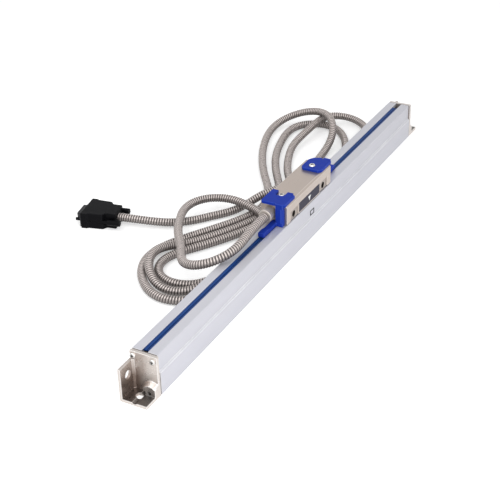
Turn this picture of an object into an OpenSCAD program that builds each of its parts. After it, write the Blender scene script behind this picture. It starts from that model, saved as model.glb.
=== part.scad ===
// Sealed linear glass scale: a slotted aluminium housing with a glass scale glued inside it,
// two cast end blocks, and a reader head whose thin arm passes between the lip seals.
// X runs along the housing, -Y is the front, Z is up, and all sizes are in millimetres.
// The origin is on the housing's underside, below the middle of the slot.

/* [Housing] */
// Measuring length
travel = 400; // [200:10:800]
// How much longer the profile is than the measuring length
profile_extra = 100; // [98:2:160]
// Width of the profile, less the extra depth at its front
profile_w = 22.4; // [22:0.1:26]
// Extra depth at the front: how much further it is from the slot than the back
front_more = 1.6; // [0:0.1:2.4]
// Height of the profile
profile_h = 36; // [35.5:0.5:44]
// Depth of the step in the front face
step_d = 1.5; // [0.5:0.1:1.7]
// Height of the step in the front face
step_z = 20; // [12:0.5:24]
// Radius of the profile's outer corners
corner_r = 0.8; // [0.3:0.1:1.2]
// Thickness of the side walls
wall_t = 2.2; // [1.8:0.1:2.4]
// Thickness of the floor
floor_t = 3; // [2:0.1:3.2]
// Thickness of the roof beside the slot
roof_t = 3.2; // [3:0.1:3.6]
// Width of the slot in the roof
slot_w = 5.6; // [4:0.1:7]
// Radius of the screw ports in the profile
port_r = 1.25; // [1:0.05:1.4]
// Wall round each screw port
port_wall = 1.05; // [0.8:0.05:1.2]

/* [Seals] */
// Thickness of each lip seal
seal_t = 1.4; // [1:0.1:1.6]
// How deep each seal sits in its groove
seal_bite = 2.2; // [1.5:0.1:2.6]
// Gap between the two lips
lip_gap = 1.2; // [1.1:0.05:2]
// Thickness of the lip at its tip
lip_tip = 0.7; // [0.4:0.05:1]
// Bare slot at the near end
bare_near = 3; // [2:0.5:8]
// Bare slot at the far end
bare_far = 10; // [4:0.5:14]

/* [Glass scale] */
// How much longer the glass is than the measuring length
glass_extra = 70; // [70:1:90]
// Thickness of the glass
glass_t = 3; // [2.6:0.1:3.2]
// Height of the glass
glass_h = 14; // [13:0.1:14.4]
// Distance from the slot's centre plane to the glass's front face
glass_y = 2; // [1.8:0.1:2.2]
// Height of the shelf that the glass stands on
shelf_h = 3; // [2.5:0.1:3.4]
// Thickness of the bond line behind the glass
bond_t = 0.4; // [0.2:0.1:0.5]
// Height of the ledge behind the glass, above the floor
ledge_h = 10; // [6:0.1:10.4]

/* [End blocks] */
// Thickness of each end gasket
gasket_t = 1; // [0.5:0.1:2]
// Length of each end block
block_l = 20; // [18:0.5:30]
// Thickness of the block's flange plate
block_plate_t = 3; // [2.5:0.1:4]
// Thickness of the block's back wall
block_wall_t = 2.5; // [2:0.1:3.5]
// Thickness of the block's bottom wall
block_floor_t = 3; // [2:0.1:4]
// Height of the block's back wall
block_wall_h = 29.3; // [26:0.1:32]
// Distance of the mounting holes from the profile's end
hole_station = 11; // [10:0.1:12.5]
// Radius of the hole in the back wall
wall_hole_r = 3.6; // [2.6:0.1:5]
// Height of the hole in the back wall
wall_hole_z = 19; // [15:0.1:21]
// Radius of the hole in the bottom wall
floor_hole_r = 2.9; // [2.2:0.1:3.6]
// Radius of the air port's boss
air_boss_r = 8.4; // [6.8:0.1:8.8]
// Length of the air port's boss
air_boss_l = 5; // [3:0.1:6]
// Radius of the air port
air_port_r = 1.5; // [1:0.1:2]
// Radius of the end screws' heads
end_head_r = 2.5; // [2:0.1:2.6]
// Length of the end screws' shanks
end_shank_l = 11; // [8:0.5:16]

/* [Reader head] */
// Position of the head's centre along the housing
head_x = 8; // [-20:1:20]
// Gap between the head and the top of the housing
head_gap = 1; // [0.6:0.1:1.6]
// Length of the head
head_l = 90; // [89:0.5:110]
// How far the head stands out behind the profile's back face
head_back = 3.1; // [2.8:0.1:6]
// Height of the head
head_h = 18.5; // [18.4:0.1:24]
// Bevel along the head's top front edge
head_bevel = 1.8; // [0.5:0.1:2.5]
// Distance between the head's two mounting holes
head_pitch = 60; // [59.5:0.1:62]
// Radius of the head's mounting holes
head_hole_r = 3; // [2:0.05:3]
// Height of the mounting holes above the head's underside
head_hole_z = 4; // [3.6:0.1:4]
// Width of the recessed pad round each mounting hole
pad_w = 16; // [12:0.5:16.4]
// Height of the recessed pads
pad_h = 9.5; // [8:0.1:10.5]
// Depth of the recessed pads
pad_d = 1; // [0.4:0.1:1.4]
// Length of the label plate
label_l = 42; // [30:0.5:42.8]
// Height of the label plate
label_h = 9; // [7:0.1:9.5]
// Thickness of the label plate
label_t = 0.6; // [0.3:0.1:1]
// How much longer the electronics pocket is than the arm's blade
pocket_extra = 13; // [12:0.5:13]
// Depth of the electronics pocket
pocket_h = 15; // [14.5:0.1:16]
// Thickness of the base plate
base_t = 1.6; // [1.2:0.1:2]

/* [Arm and carriage] */
// Thickness of the arm's blade
blade_t = 1; // [0.6:0.05:1]
// Length of the arm's blade
blade_l = 30; // [28:0.5:31]
// Length of the scanning carriage
car_l = 84; // [80:0.5:84]
// Height of the carriage above the glass's top edge
car_rise = 8; // [7.8:0.1:8.4]
// Gap between the carriage and the glass's front face
car_gap = 0.8; // [0.5:0.1:1]
// Radius of the rollers
roller_r = 3; // [2.6:0.1:3.1]
// Width of the rollers
roller_w = 2.5; // [1.5:0.1:2.6]
// Radius of the roller pins
pin_r = 1; // [0.7:0.05:1.2]
// Radial running clearance of the rollers on their pins
run_fit = 0.03; // [0.02:0.01:0.08]
// Gap between a roller and the glass
roller_gap = 0.1; // [0.05:0.05:0.2]
// Distance of the outer face rollers from the head's centre
face_roller_x = 34; // [31:0.5:35]
// Distance of the edge rollers from the head's centre
edge_roller_x = 22; // [18:0.5:24]
// Thickness of the index grating
grating_t = 1.2; // [0.8:0.1:1.5]

/* [Transit clips] */
// Thickness of the clips
clip_t = 3; // [2:0.1:4]
// How far the near clip's plate reaches over the head
near_plate_l = 19.5; // [16:0.5:24]
// How far the far clip's plate reaches over the head
far_plate_l = 21.5; // [18.5:0.5:32]
// Length of the clips' feet beyond the head's ends
foot_l = 28; // [20:0.5:32]
// Width of the clips' feet
foot_w = 6; // [4:0.1:6.4]
// Gap between the clips' feet and the housing
foot_gap = 0.3; // [0.1:0.1:0.5]
// Radius of the clip screws' heads
clip_head_r = 3; // [2:0.1:3.2]

/* [Cable and plug] */
// Outer radius of the armoured conduit
conduit_r = 4; // [3:0.1:4]
// Radius of the cable gland
gland_r = 6; // [5:0.1:6]
// Length of the cable gland outside the head
gland_l = 10.5; // [10:0.5:15]
// Distance of the gland's axis behind the slot's centre plane
gland_y = 5.3; // [5:0.1:5.6]
// Height of the gland's axis above the head's underside
gland_z = 9.5; // [9.5:0.1:10]
// Width of the plug's flange
plug_w = 31; // [30:0.5:34]
// Height of the plug
plug_h = 15.6; // [15:0.1:18]
// Length of the plug's hood
plug_l = 33; // [32:0.5:36]
// Wall of the plug's hood
hood_wall = 1.8; // [1.2:0.1:2]

/* [Hidden] */
$fn = 48;
eps = 0.01;

// Housing
profile_l = travel + profile_extra;
half_w = profile_w / 2;
low_y = -half_w - front_more;
front_y = low_y + step_d;
cav_y0 = front_y + wall_t;
cav_y1 = half_w - wall_t;
cav_z1 = profile_h - roof_t;
shoulder = 1;
port_out = port_r + port_wall;
// Screw ports as [y, z]: top back, top front, bottom
ports = [
    [cav_y1 - 1, cav_z1 - 0.4],
    [cav_y0 - 0.1, cav_z1 - 1],
    [-1.6, floor_t + 1.4]
];
// Seals
groove_z = cav_z1 + (roof_t - seal_t) / 2;
seal_fit = 0.05;
// Glass
glass_l = travel + glass_extra;
glass_z = floor_t + shelf_h;
glass_top = glass_z + glass_h;
glass_back = glass_y + glass_t;
bond_foot = 0.5;
// End blocks
end_x = profile_l / 2;
block_x = end_x + gasket_t;
hole_x = end_x + hole_station;
outline_gap = 0.3;
air_port = [-7.4, 5.2];
clear_r = port_r + 0.35;
end_head_h = 1.8;
// Head
head_z = profile_h + head_gap;
head_y0 = -half_w;
head_y1 = half_w + head_back;
head_top = head_z + head_h;
head_mid = (head_y0 + head_y1) / 2;
pocket_l = blade_l + pocket_extra;
pocket_y0 = head_y0 + 4.2;
pocket_y1 = head_y1 - 3.8;
base_lap = 4.4;
base_l = pocket_l + 2 * base_lap;
base_y0 = pocket_y0 - 1.8;
base_y1 = pocket_y1 + 1.5;
slip = 0.1;
flange_t = 1.5;
flange_w = 8;
lead_r = 1.8;
board_t = 1.6;
board_z = head_z + gland_z - lead_r - 0.1 - board_t;
board_l = pocket_l - 4;
board_post_y = [pocket_y0 + 3, pocket_y1 - 2];
board_post_x = board_l / 2 - 4;
// Carriage
car_y1 = glass_y - car_gap;
car_y0 = cav_y0 + 0.7;
car_z0 = floor_t + 1.4 + port_out + 0.7;
car_z1 = glass_top + car_rise;
face_y = glass_y - roller_gap - roller_r;
face_z = glass_top - 3;
low_roller_z = car_z0 + 0.8 + roller_w / 2 + 0.15;
edge_y = glass_y + glass_t / 2;
edge_z = glass_top + roller_gap + roller_r;
pocket_gap = 0.7;
arm_y0 = glass_back + bond_t + 0.2;
arm_y1 = arm_y0 + 2.8;
edge_pin_in = 3;
edge_pin_l = edge_pin_in + arm_y0 + 1.4 - car_y1;
scan_z = glass_top - 4;
pcb_t = 1.2;
wire_z = car_z1 + 2.2;
wire_r = 0.4;
blade_z0 = car_z1 + 1.4;
lug_x = -blade_l / 2 + 2;
flex_t = 0.3;
flex_x = blade_l / 2 + 1.5;
flex_w = 4;
// Clips
clip_z = head_top;
foot_z = profile_h + foot_gap;
clip_screw_x = 31;
clip_back = half_w + 1.4;
// Gland and plug
gland_x = head_x - head_l / 2 - gland_l;
gland_axis = head_z + gland_z;
plug_pos = [-46, 161];
plug_turn = 12;
plug_mid = plug_h / 2;
screw_pitch = 25;
thumb_r = 1.5;
thumb_hole = thumb_r + 0.06;
thumb_head_r = 2.7;
neck_w = screw_pitch - 2 * thumb_head_r - 0.6;
shoulder_y = 9;
dsub_t = 0.8;
pin_pitch = 2.77;

// Helpers ---------------------------------------------------------------

// Points of a quarter round about [x, y], from angle a
function arc(x, y, r, a, n = 5) =
    [for (i = [0:n]) [x + r * cos(a + i * 90 / n), y + r * sin(a + i * 90 / n)]];

// Rectangle with round corners
function rounded(x0, x1, y0, y1, r) = concat(
    arc(x0 + r, y0 + r, r, 180), arc(x1 - r, y0 + r, r, 270),
    arc(x1 - r, y1 - r, r, 0), arc(x0 + r, y1 - r, r, 90));

// Sweeps a Y-Z section along X, centred
module bar(l) {
    rotate([90, 0, 90]) linear_extrude(l, center = true) children();
}

// Box given by its limits
module box(x, y, z) {
    translate([x[0], y[0], z[0]]) cube([x[1] - x[0], y[1] - y[0], z[1] - z[0]]);
}

// Cylinder along X, Y or Z from a start point
module rod_x(p, r, l) { translate(p) rotate([0, 90, 0]) cylinder(r = r, h = l); }
module rod_y(p, r, l) { translate(p) rotate([-90, 0, 0]) cylinder(r = r, h = l); }
module rod_z(p, r, l) { translate(p) cylinder(r = r, h = l); }

// Pan-head screw with a cross recess; the head's seat is at z = 0, the shank points down
module cross_screw(head_r, head_h, shank_r, shank_l) {
    difference() {
        rotate_extrude($fn = 32) polygon([
            [0, -shank_l], [shank_r * 0.6, -shank_l], [shank_r, -shank_l + shank_r * 0.6],
            [shank_r, 0], [head_r, 0], [head_r, head_h * 0.45], [head_r * 0.8, head_h * 0.85],
            [head_r * 0.45, head_h], [0, head_h]]);
        for (a = [0, 90]) rotate([0, 0, a])
            translate([-head_r * 0.62, -head_r * 0.15, head_h * 0.35])
            cube([head_r * 1.24, head_r * 0.3, head_h]);
    }
}

// Housing --------------------------------------------------------------

// Outline of the profile with its stepped front
module profile_outline(d = 0) {
    polygon(concat(
        arc(half_w - corner_r - d, corner_r + d, corner_r, 270),
        arc(half_w - corner_r - d, profile_h - corner_r - d, corner_r, 0),
        arc(front_y + corner_r + d, profile_h - corner_r - d, corner_r, 90),
        [[front_y + d, step_z + shoulder], [low_y + d, step_z]],
        arc(low_y + corner_r + d, corner_r + d, corner_r, 180)));
}

// Hollow of the profile: shelf under the glass, ledge behind it and rounded corners
module profile_hollow() {
    polygon([
        [cav_y0, floor_t], [glass_y, floor_t], [glass_y, glass_z],
        [glass_back + bond_t, glass_z], [glass_back + bond_t, floor_t + ledge_h],
        [cav_y1, floor_t + ledge_h], [cav_y1, cav_z1], [cav_y0, cav_z1]]);
}

module housing_extrusion() {
    color("gainsboro") difference() {
        union() {
            difference() {
                bar(profile_l) profile_outline();
                bar(profile_l + 2) profile_hollow();
            }
            intersection() {
                bar(profile_l) profile_outline();
                for (p = ports) rod_x([-end_x, p[0], p[1]], port_out, profile_l);
            }
        }
        box([-end_x - 1, end_x + 1], [-slot_w / 2, slot_w / 2], [cav_z1 - 1, profile_h + 1]);
        box([-end_x - 1, end_x + 1], [-slot_w / 2 - seal_bite, slot_w / 2 + seal_bite],
            [groove_z, groove_z + seal_t]);
        for (p = ports) rod_x([-end_x - 1, p[0], p[1]], port_r, profile_l + 2);
    }
}

// One lip seal: a foot in the groove and a tongue that tapers towards the middle
module lip_seal(side) {
    l = profile_l - bare_near - bare_far;
    foot = slot_w / 2 + seal_bite - seal_fit;
    z0 = groove_z + seal_fit;
    z1 = groove_z + seal_t - seal_fit;
    translate([(bare_near - bare_far) / 2, 0, 0]) scale([1, side, 1]) bar(l) polygon([
        [foot, z0], [foot, z1], [slot_w / 2, z1],
        [lip_gap / 2, z1 - 0.2], [lip_gap / 2, z1 - 0.2 - lip_tip], [slot_w / 2, z0]]);
}
module lip_seal_front() { color("midnightblue") mirror([0, 1, 0]) lip_seal(1); }
module lip_seal_back() { color("midnightblue") lip_seal(1); }

module glass_scale() {
    color("lightcyan") box([-glass_l / 2, glass_l / 2], [glass_y, glass_back], [glass_z, glass_top]);
}

module glass_bond_strip() {
    color("ivory") box([-glass_l / 2, glass_l / 2], [glass_back, glass_back + bond_t],
        [glass_z + bond_foot, floor_t + ledge_h - bond_foot]);
}

// Ends -------------------------------------------------------------------

module end_gasket() {
    difference() {
        translate([end_x + gasket_t / 2, 0, 0]) bar(gasket_t) profile_outline(outline_gap);
        for (p = ports) rod_x([end_x - 1, p[0], p[1]], clear_r, gasket_t + 2);
    }
}
module end_gasket_far() { color("dimgray") end_gasket(); }
module end_gasket_near() { color("dimgray") mirror([1, 0, 0]) end_gasket(); }

// Cast block: flange plate, back wall and bottom wall, open to the front and outwards
module end_block() {
    plate_x = block_x + block_plate_t;
    difference() {
        union() {
            translate([block_x + block_plate_t / 2, 0, 0]) bar(block_plate_t)
                polygon(rounded(low_y, half_w, 0, profile_h, corner_r));
            intersection() {
                translate([block_x + block_l / 2, 0, 0]) bar(block_l) profile_outline();
                union() {
                    box([block_x, block_x + block_l], [half_w - block_wall_t, half_w + 1],
                        [0, block_wall_h]);
                    box([block_x, block_x + block_l], [low_y - 1, half_w], [0, block_floor_t]);
                    // Boss of the air port, tapering into the bottom wall
                    translate([plate_x - eps, air_port[0], air_port[1]]) rotate([0, 90, 0])
                        cylinder(r1 = air_boss_r, r2 = air_boss_r - 2, h = air_boss_l);
                    // Fillets where the plate meets the two walls
                    translate([plate_x, half_w - block_wall_t, 0]) rotate([0, 0, 45])
                        translate([-1.2, -1.2, 0]) cube([2.4, 2.4, block_wall_h]);
                }
            }
        }
        for (p = ports) {
            rod_x([block_x - 1, p[0], p[1]], clear_r, block_plate_t + 2);
            rod_x([plate_x, p[0], p[1]], end_head_r + slip, block_l);
        }
        rod_x([block_x + 1, air_port[0], air_port[1]], air_port_r, block_l);
        rod_y([hole_x, half_w - block_wall_t - 3, wall_hole_z], wall_hole_r, block_wall_t + 6);
        rod_z([hole_x, 0, -1], floor_hole_r, block_floor_t + 12);
    }
}
module end_block_far() { color("linen") end_block(); }
module end_block_near() { color("linen") mirror([1, 0, 0]) end_block(); }

module end_screws() {
    for (p = ports) translate([block_x + block_plate_t, p[0], p[1]]) rotate([0, 90, 0])
        cross_screw(end_head_r, end_head_h, port_r - 0.02, end_shank_l);
}
module end_screws_far() { color("white") end_screws(); }
module end_screws_near() { color("white") mirror([1, 0, 0]) end_screws(); }

// Reader head ------------------------------------------------------------

module head_section() {
    polygon([
        [head_y0, head_z], [head_y1, head_z], [head_y1, head_top - 0.8],
        [head_y1 - 0.8, head_top], [head_y0 + head_bevel, head_top],
        [head_y0, head_top - head_bevel]]);
}

base_screw_x = pocket_l / 2 + base_lap / 2;
base_screw_y = [base_y0 + 2.6, base_y1 - 2.6];
base_screw_r = 0.9;

module head_body() {
    color("tan") translate([head_x, 0, 0]) difference() {
        bar(head_l) head_section();
        // Pocket for the electronics and the seat of its cover
        box([-pocket_l / 2, pocket_l / 2], [pocket_y0, pocket_y1], [head_z - 1, head_z + pocket_h]);
        box([-base_l / 2 - slip, base_l / 2 + slip], [base_y0 - slip, base_y1 + slip],
            [head_z - 1, head_z + base_t]);
        for (x = [-1, 1]) {
            // Recessed pads and through holes for mounting
            box([x * head_pitch / 2 - pad_w / 2, x * head_pitch / 2 + pad_w / 2],
                [head_y0 - 1, head_y0 + pad_d], [head_z - 1, head_z + pad_h]);
            rod_y([x * head_pitch / 2, head_y0 - 1, head_z + head_hole_z], head_hole_r,
                head_y1 - head_y0 + 2);
            rod_z([x * clip_screw_x, 1.2, head_top - 6], 1.25, 7);
            for (y = base_screw_y)
                rod_z([x * base_screw_x, y, head_z], base_screw_r, base_t + 6);
        }
        box([-label_l / 2 - slip, label_l / 2 + slip], [head_y0 - 1, head_y0 + label_t],
            [head_z + 1 - slip, head_z + 1 + label_h + slip]);
        rod_x([-head_l / 2 - 1, gland_y, gland_axis], 4.5, 8);
        rod_x([-head_l / 2, gland_y, gland_axis], lead_r + 0.2, (head_l - pocket_l) / 2 + 1);
    }
    // Posts that carry the signal board
    color("tan") translate([head_x, 0, 0]) for (x = [-1, 1], y = board_post_y) difference() {
        rod_z([x * board_post_x, y, board_z + board_t], 1.8, head_z + pocket_h - board_z - board_t + 1);
        rod_z([x * board_post_x, y, board_z], 0.8, 5);
    }
}

module head_base_plate() {
    color("silver") translate([head_x, 0, 0]) difference() {
        box([-base_l / 2, base_l / 2], [base_y0, base_y1], [head_z, head_z + base_t]);
        box([-blade_l / 2 - slip, blade_l / 2 + slip], [-blade_t / 2 - slip, blade_t / 2 + slip],
            [head_z - 1, head_z + base_t + 1]);
        box([flex_x - 0.5, flex_x + flex_w + 0.5], [-0.6, 0.6], [head_z - 1, head_z + base_t + 1]);
        for (x = [-1, 1], y = base_screw_y) {
            rod_z([x * base_screw_x, y, head_z - 1], base_screw_r + 0.1, base_t + 2);
            rod_z([x * base_screw_x, y, head_z - 1], 1.8, 1.8);
        }
        for (x = [-1, 1], y = [-1, 1])
            rod_z([x * (blade_l / 2 - 3), y * 2.6, head_z - 1], 0.8, base_t + 2);
    }
}

module base_plate_screws() {
    color("white") translate([head_x, 0, 0]) for (x = [-1, 1], y = base_screw_y)
        translate([x * base_screw_x, y, head_z + 0.8]) mirror([0, 0, 1])
        cross_screw(1.7, 0.8, base_screw_r - 0.02, base_t + 3);
}

module head_label_plate() {
    color("dimgray") translate([head_x, 0, 0])
        box([-label_l / 2, label_l / 2], [head_y0, head_y0 + label_t], [head_z + 1, head_z + 1 + label_h]);
}

// Arm: flange on the base plate, thin blade through the slot, lug for the coupling wire
module scanning_arm() {
    color("lightsteelblue") translate([head_x, 0, 0]) difference() {
        union() {
            box([-blade_l / 2, blade_l / 2], [-blade_t / 2, blade_t / 2], [blade_z0, head_z + base_t + eps]);
            box([-blade_l / 2, blade_l / 2], [-flange_w / 2, flange_w / 2],
                [head_z + base_t, head_z + base_t + flange_t]);
            box([lug_x - 2, lug_x + 2], [-1.2, 1.2], [wire_z - 1.2, wire_z + 1.2]);
        }
        rod_x([lug_x - 3, 0, wire_z], wire_r + 0.02, 6);
        for (x = [-1, 1], y = [-1, 1])
            rod_z([x * (blade_l / 2 - 3), y * 2.6, head_z + base_t - 1], 0.8, flange_t + 2);
    }
}

module arm_screws() {
    color("white") translate([head_x, 0, 0]) for (x = [-1, 1], y = [-1, 1])
        translate([x * (blade_l / 2 - 3), y * 2.6, head_z + base_t + flange_t])
        cross_screw(1.3, 0.7, 0.78, flange_t + base_t - 0.3);
}

wire_end = -face_roller_x - 4;
module coupling_wire() {
    color("white") translate([head_x, 0, 0])
        rod_x([wire_end - 1, 0, wire_z], wire_r, lug_x + 2 - wire_end + 1);
}

// Leaf spring: a shallow arch between the carriage's top and the blade
module preload_spring() {
    n = 8;
    reach = 9;
    leaf_t = 0.3;
    rise = blade_z0 - car_z1 - leaf_t;
    color("goldenrod") translate([head_x, 1.5, 0]) rotate([90, 0, 0]) linear_extrude(3) polygon(concat(
        [for (i = [-n:n]) [reach * i / n, car_z1 + rise * (1 - pow(i / n, 2))]],
        [for (i = [-n:n]) [-reach * i / n, car_z1 + rise * (1 - pow(i / n, 2)) + leaf_t]]));
}

// Carriage ---------------------------------------------------------------

module carriage_frame() {
    face_pocket = roller_r + pocket_gap;
    color("slategray") translate([head_x, 0, 0]) difference() {
        union() {
            box([-car_l / 2, car_l / 2], [car_y0, car_y1], [car_z0, car_z1]);
            for (x = [-1, 1]) {
                // Forks over the glass that hold the edge rollers
                box([x * edge_roller_x - 3.6, x * edge_roller_x + 3.6], [car_y1 - 1, arm_y0 + 1.6],
                    [edge_z + roller_r + 0.5, car_z1]);
                box([x * edge_roller_x - 3, x * edge_roller_x + 3], [arm_y0, arm_y0 + 1.6],
                    [glass_top + 1, car_z1]);
            }
            // Rear arm that carries the lamp behind the glass
            box([-10, 10], [car_y1 - 1, arm_y1], [edge_z + roller_r + 0.3, car_z1]);
            box([-10, 10], [arm_y0, arm_y1], [floor_t + ledge_h + 0.8, car_z1]);
            // Post for the coupling wire
            box([wire_end - 1, wire_end + 1], [-1.2, 1.2], [car_z1 - 1, wire_z + 1.2]);
        }
        rod_x([wire_end - 2, 0, wire_z], wire_r + 0.02, 4);
        for (x = [-1, 1]) {
            box([x * face_roller_x - face_pocket, x * face_roller_x + face_pocket],
                [face_y - face_pocket, car_y1 + 1], [face_z - roller_w / 2 - 0.15, face_z + roller_w / 2 + 0.15]);
            rod_z([x * face_roller_x, face_y, face_z - roller_w / 2 - 2.5], pin_r, roller_w + 5);
            rod_y([x * edge_roller_x, car_y1 - edge_pin_in, edge_z], pin_r, edge_pin_l);
        }
        box([-face_pocket, face_pocket], [face_y - face_pocket, car_y1 + 1],
            [low_roller_z - roller_w / 2 - 0.15, low_roller_z + roller_w / 2 + 0.15]);
        rod_z([0, face_y, car_z0 - 1], pin_r, roller_w + 3.6);
        // Window of the scanning field, with the seat of the index grating
        box([-7, 7], [car_y0 - 1, car_y1 + 1], [scan_z - 3, scan_z + 3]);
        box([-8.9, 8.9], [car_y1 + 0.3 - grating_t, car_y1 + 1], [scan_z - 3.9, scan_z + 3.9]);
        // Seat of the detector board, open upwards for its lead
        box([-14.2, flex_x + flex_w + 0.4], [car_y0 - 1, car_y0 + pcb_t], [scan_z - 5.2, car_z1 + 1]);
        // Lamp bore and lens seat
        rod_y([0, arm_y0 - 1, scan_z], 1.5, 6);
        rod_y([0, arm_y0 - 1, scan_z], 2.1, 2);
    }
}

module roller_pins() {
    color("white") translate([head_x, 0, 0]) {
        for (x = [-1, 1]) {
            rod_z([x * face_roller_x, face_y, face_z - roller_w / 2 - 2.5], pin_r, roller_w + 5);
            rod_y([x * edge_roller_x, car_y1 - edge_pin_in, edge_z], pin_r, edge_pin_l);
        }
        rod_z([0, face_y, car_z0 + 0.2], pin_r, roller_w + 2.4);
    }
}

// Ball-bearing roller: rim and bore
module roller() {
    rotate_extrude() polygon([
        [pin_r + run_fit, -roller_w / 2], [roller_r - 0.3, -roller_w / 2], [roller_r, -roller_w / 2 + 0.3],
        [roller_r, roller_w / 2 - 0.3], [roller_r - 0.3, roller_w / 2], [pin_r + run_fit, roller_w / 2]]);
}
module face_roller_a() { color("white") translate([head_x - face_roller_x, face_y, face_z]) roller(); }
module face_roller_b() { color("white") translate([head_x + face_roller_x, face_y, face_z]) roller(); }
module face_roller_c() { color("white") translate([head_x, face_y, low_roller_z]) roller(); }
module edge_roller_a() {
    color("white") translate([head_x - edge_roller_x, edge_y, edge_z]) rotate([90, 0, 0]) roller();
}
module edge_roller_b() {
    color("white") translate([head_x + edge_roller_x, edge_y, edge_z]) rotate([90, 0, 0]) roller();
}

module light_source() {
    color("crimson") translate([head_x, 0, 0]) rod_y([0, arm_y0 + 1.1, scan_z], 1.5, 1.7);
}

module condenser_lens() {
    color("lightcyan") translate([head_x, arm_y0, scan_z]) rotate([-90, 0, 0]) intersection() {
        cylinder(r = 2.1, h = 1);
        translate([0, 0, 4]) sphere(r = 4);
    }
}

module index_grating() {
    color("lightcyan") translate([head_x, 0, 0])
        box([-8.8, 8.8], [car_y1 + 0.3 - grating_t, car_y1 + 0.3], [scan_z - 3.8, scan_z + 3.8]);
}

module detector_board() {
    color("green") translate([head_x, 0, 0])
        box([-14, flex_x + flex_w], [car_y0, car_y0 + pcb_t], [scan_z - 5, car_z1 - 3]);
}

module photodiode_array() {
    color("black") translate([head_x, 0, 0]) for (x = [-4.5, -1.5, 1.5, 4.5])
        box([x - 1.2, x + 1.2], [car_y0 + pcb_t, car_y0 + pcb_t + 0.8], [scan_z - 2, scan_z + 2]);
}

// Ribbon from the detector board, over the carriage and up through the slot
module flex_lead() {
    y = car_y0 + pcb_t / 2;
    z = car_z1 + 0.4;
    h = flex_t / 2;
    color("darkorange") translate([head_x + flex_x + flex_w / 2, 0, 0]) bar(flex_w) polygon([
        [y - h, car_z1 - 3], [y + h, car_z1 - 3], [y + h, z], [h, z], [h, board_z],
        [-h, board_z], [-h, z + flex_t], [y - h, z + flex_t]]);
}

module signal_board() {
    color("green") translate([head_x, 0, 0]) difference() {
        union() {
            box([-board_l / 2, board_l / 2], [pocket_y0 + 1, pocket_y1 - 0.5], [board_z, board_z + board_t]);
            for (x = [-11, 0, 9]) box([x, x + 6], [pocket_y0 + 5, pocket_y0 + 9], [board_z + board_t, board_z + board_t + 1.4]);
        }
        for (x = [-1, 1], y = board_post_y) rod_z([x * board_post_x, y, board_z - 1], 1, board_t + 2);
    }
}

module board_screws() {
    color("white") translate([head_x, 0, 0]) for (x = [-1, 1], y = board_post_y)
        translate([x * board_post_x, y, board_z]) mirror([0, 0, 1]) cross_screw(1.5, 0.9, 0.78, board_t + 2.5);
}

// Transit clips ----------------------------------------------------------

// Foot along the slot, seen from the front: hollow top that clears the gland
module clip_foot(x0) {
    x1 = x0 + foot_l;
    top = foot_z + 3.2;
    translate([0, foot_w / 2, 0]) rotate([90, 0, 0]) linear_extrude(foot_w) polygon(concat(
        [[x0, foot_z], [x1, foot_z], [x1, top + 1], [x1 - 2, top + 1]],
        [for (a = [0:15:90]) [x1 - 7 - 5 * sin(a), top + 1.2 - 1.2 * sin(a)]],
        [[x0 + 2, top], [x0, top]]));
}

// Near clip in the head's own coordinates, its leg against the head's end
module transit_clip_near() {
    e = -head_l / 2;
    y0 = head_y0 + 0.2;
    color("royalblue") translate([head_x, 0, 0]) difference() {
        union() {
            translate([0, 0, clip_z]) linear_extrude(clip_t)
                polygon(rounded(e - 4, e + near_plate_l, y0, clip_back, 1.6));
            box([e - 5, e - slip], [y0 + 2, -2], [foot_z, clip_z + clip_t]);
            box([e - 5, e - slip], [y0 + 2, foot_w / 2], [foot_z, foot_z + 3.2]);
            translate([e - slip, 0, 0]) mirror([1, 0, 0]) clip_foot(0);
        }
        // Notch open towards the middle of the head, round the screw
        translate([0, 0, clip_z - 1]) linear_extrude(clip_t + 2)
            polygon(rounded(-clip_screw_x - clip_head_r - 0.2, e + near_plate_l + 4,
                1.2 - clip_head_r - 0.4, 3.5 + clip_head_r, 2.5));
        // Front corner set back
        translate([0, 0, clip_z - 1]) linear_extrude(clip_t + 2) polygon([
            [e + near_plate_l - 4, y0 - 1], [e + near_plate_l + 1, y0 - 1],
            [e + near_plate_l + 1, y0 + 3], [e + near_plate_l - 2.5, y0 + 3]]);
        box([e - 6, e - 3.5], [y0 + 1, y0 + 3.5], [foot_z + 4, clip_z - 2]);
    }
}

module transit_clip_far() {
    e = head_l / 2;
    y0 = head_y0 + 0.2;
    color("royalblue") translate([head_x, 0, 0]) difference() {
        union() {
            translate([0, 0, clip_z]) linear_extrude(clip_t) polygon([
                [e + 4, y0 + 2], [e + 4, -3], [e + 2, -3], [e + 2, -1], [e + 4, -1], [e + 1, 6.5],
                [e - 4, 9.5], [e - far_plate_l + 2.5, 9.5], [e - far_plate_l, 7], [e - far_plate_l, y0 + 3],
                [e - far_plate_l + 3, y0], [e + 1, y0]]);
            box([e + slip, e + 5], [y0 + 2, -2], [foot_z, clip_z + clip_t]);
            box([e + slip, e + 5], [y0 + 2, foot_w / 2], [foot_z, foot_z + 3.2]);
            translate([e + slip, 0, 0]) clip_foot(0);
        }
        rod_z([clip_screw_x, 1.2, clip_z - 1], 1.7, clip_t + 2);
        rod_z([clip_screw_x, 1.2, clip_z + clip_t - 1.2], clip_head_r + 0.5, 2);
    }
}

module clip_screws() {
    color("white") translate([head_x, 0, 0]) {
        translate([-clip_screw_x, 1.2, clip_z + 0.6]) cross_screw(clip_head_r, 2.2, 1.23, 6);
        translate([-clip_screw_x, 1.2, clip_z]) difference() {
            cylinder(r = clip_head_r - 0.2, h = 0.6);
            translate([0, 0, -1]) cylinder(r = 1.25, h = 3);
        }
        translate([clip_screw_x, 1.2, clip_z + clip_t - 1.2]) cross_screw(clip_head_r, 2.2, 1.23, 6);
    }
}

// Gland and cable --------------------------------------------------------

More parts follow.
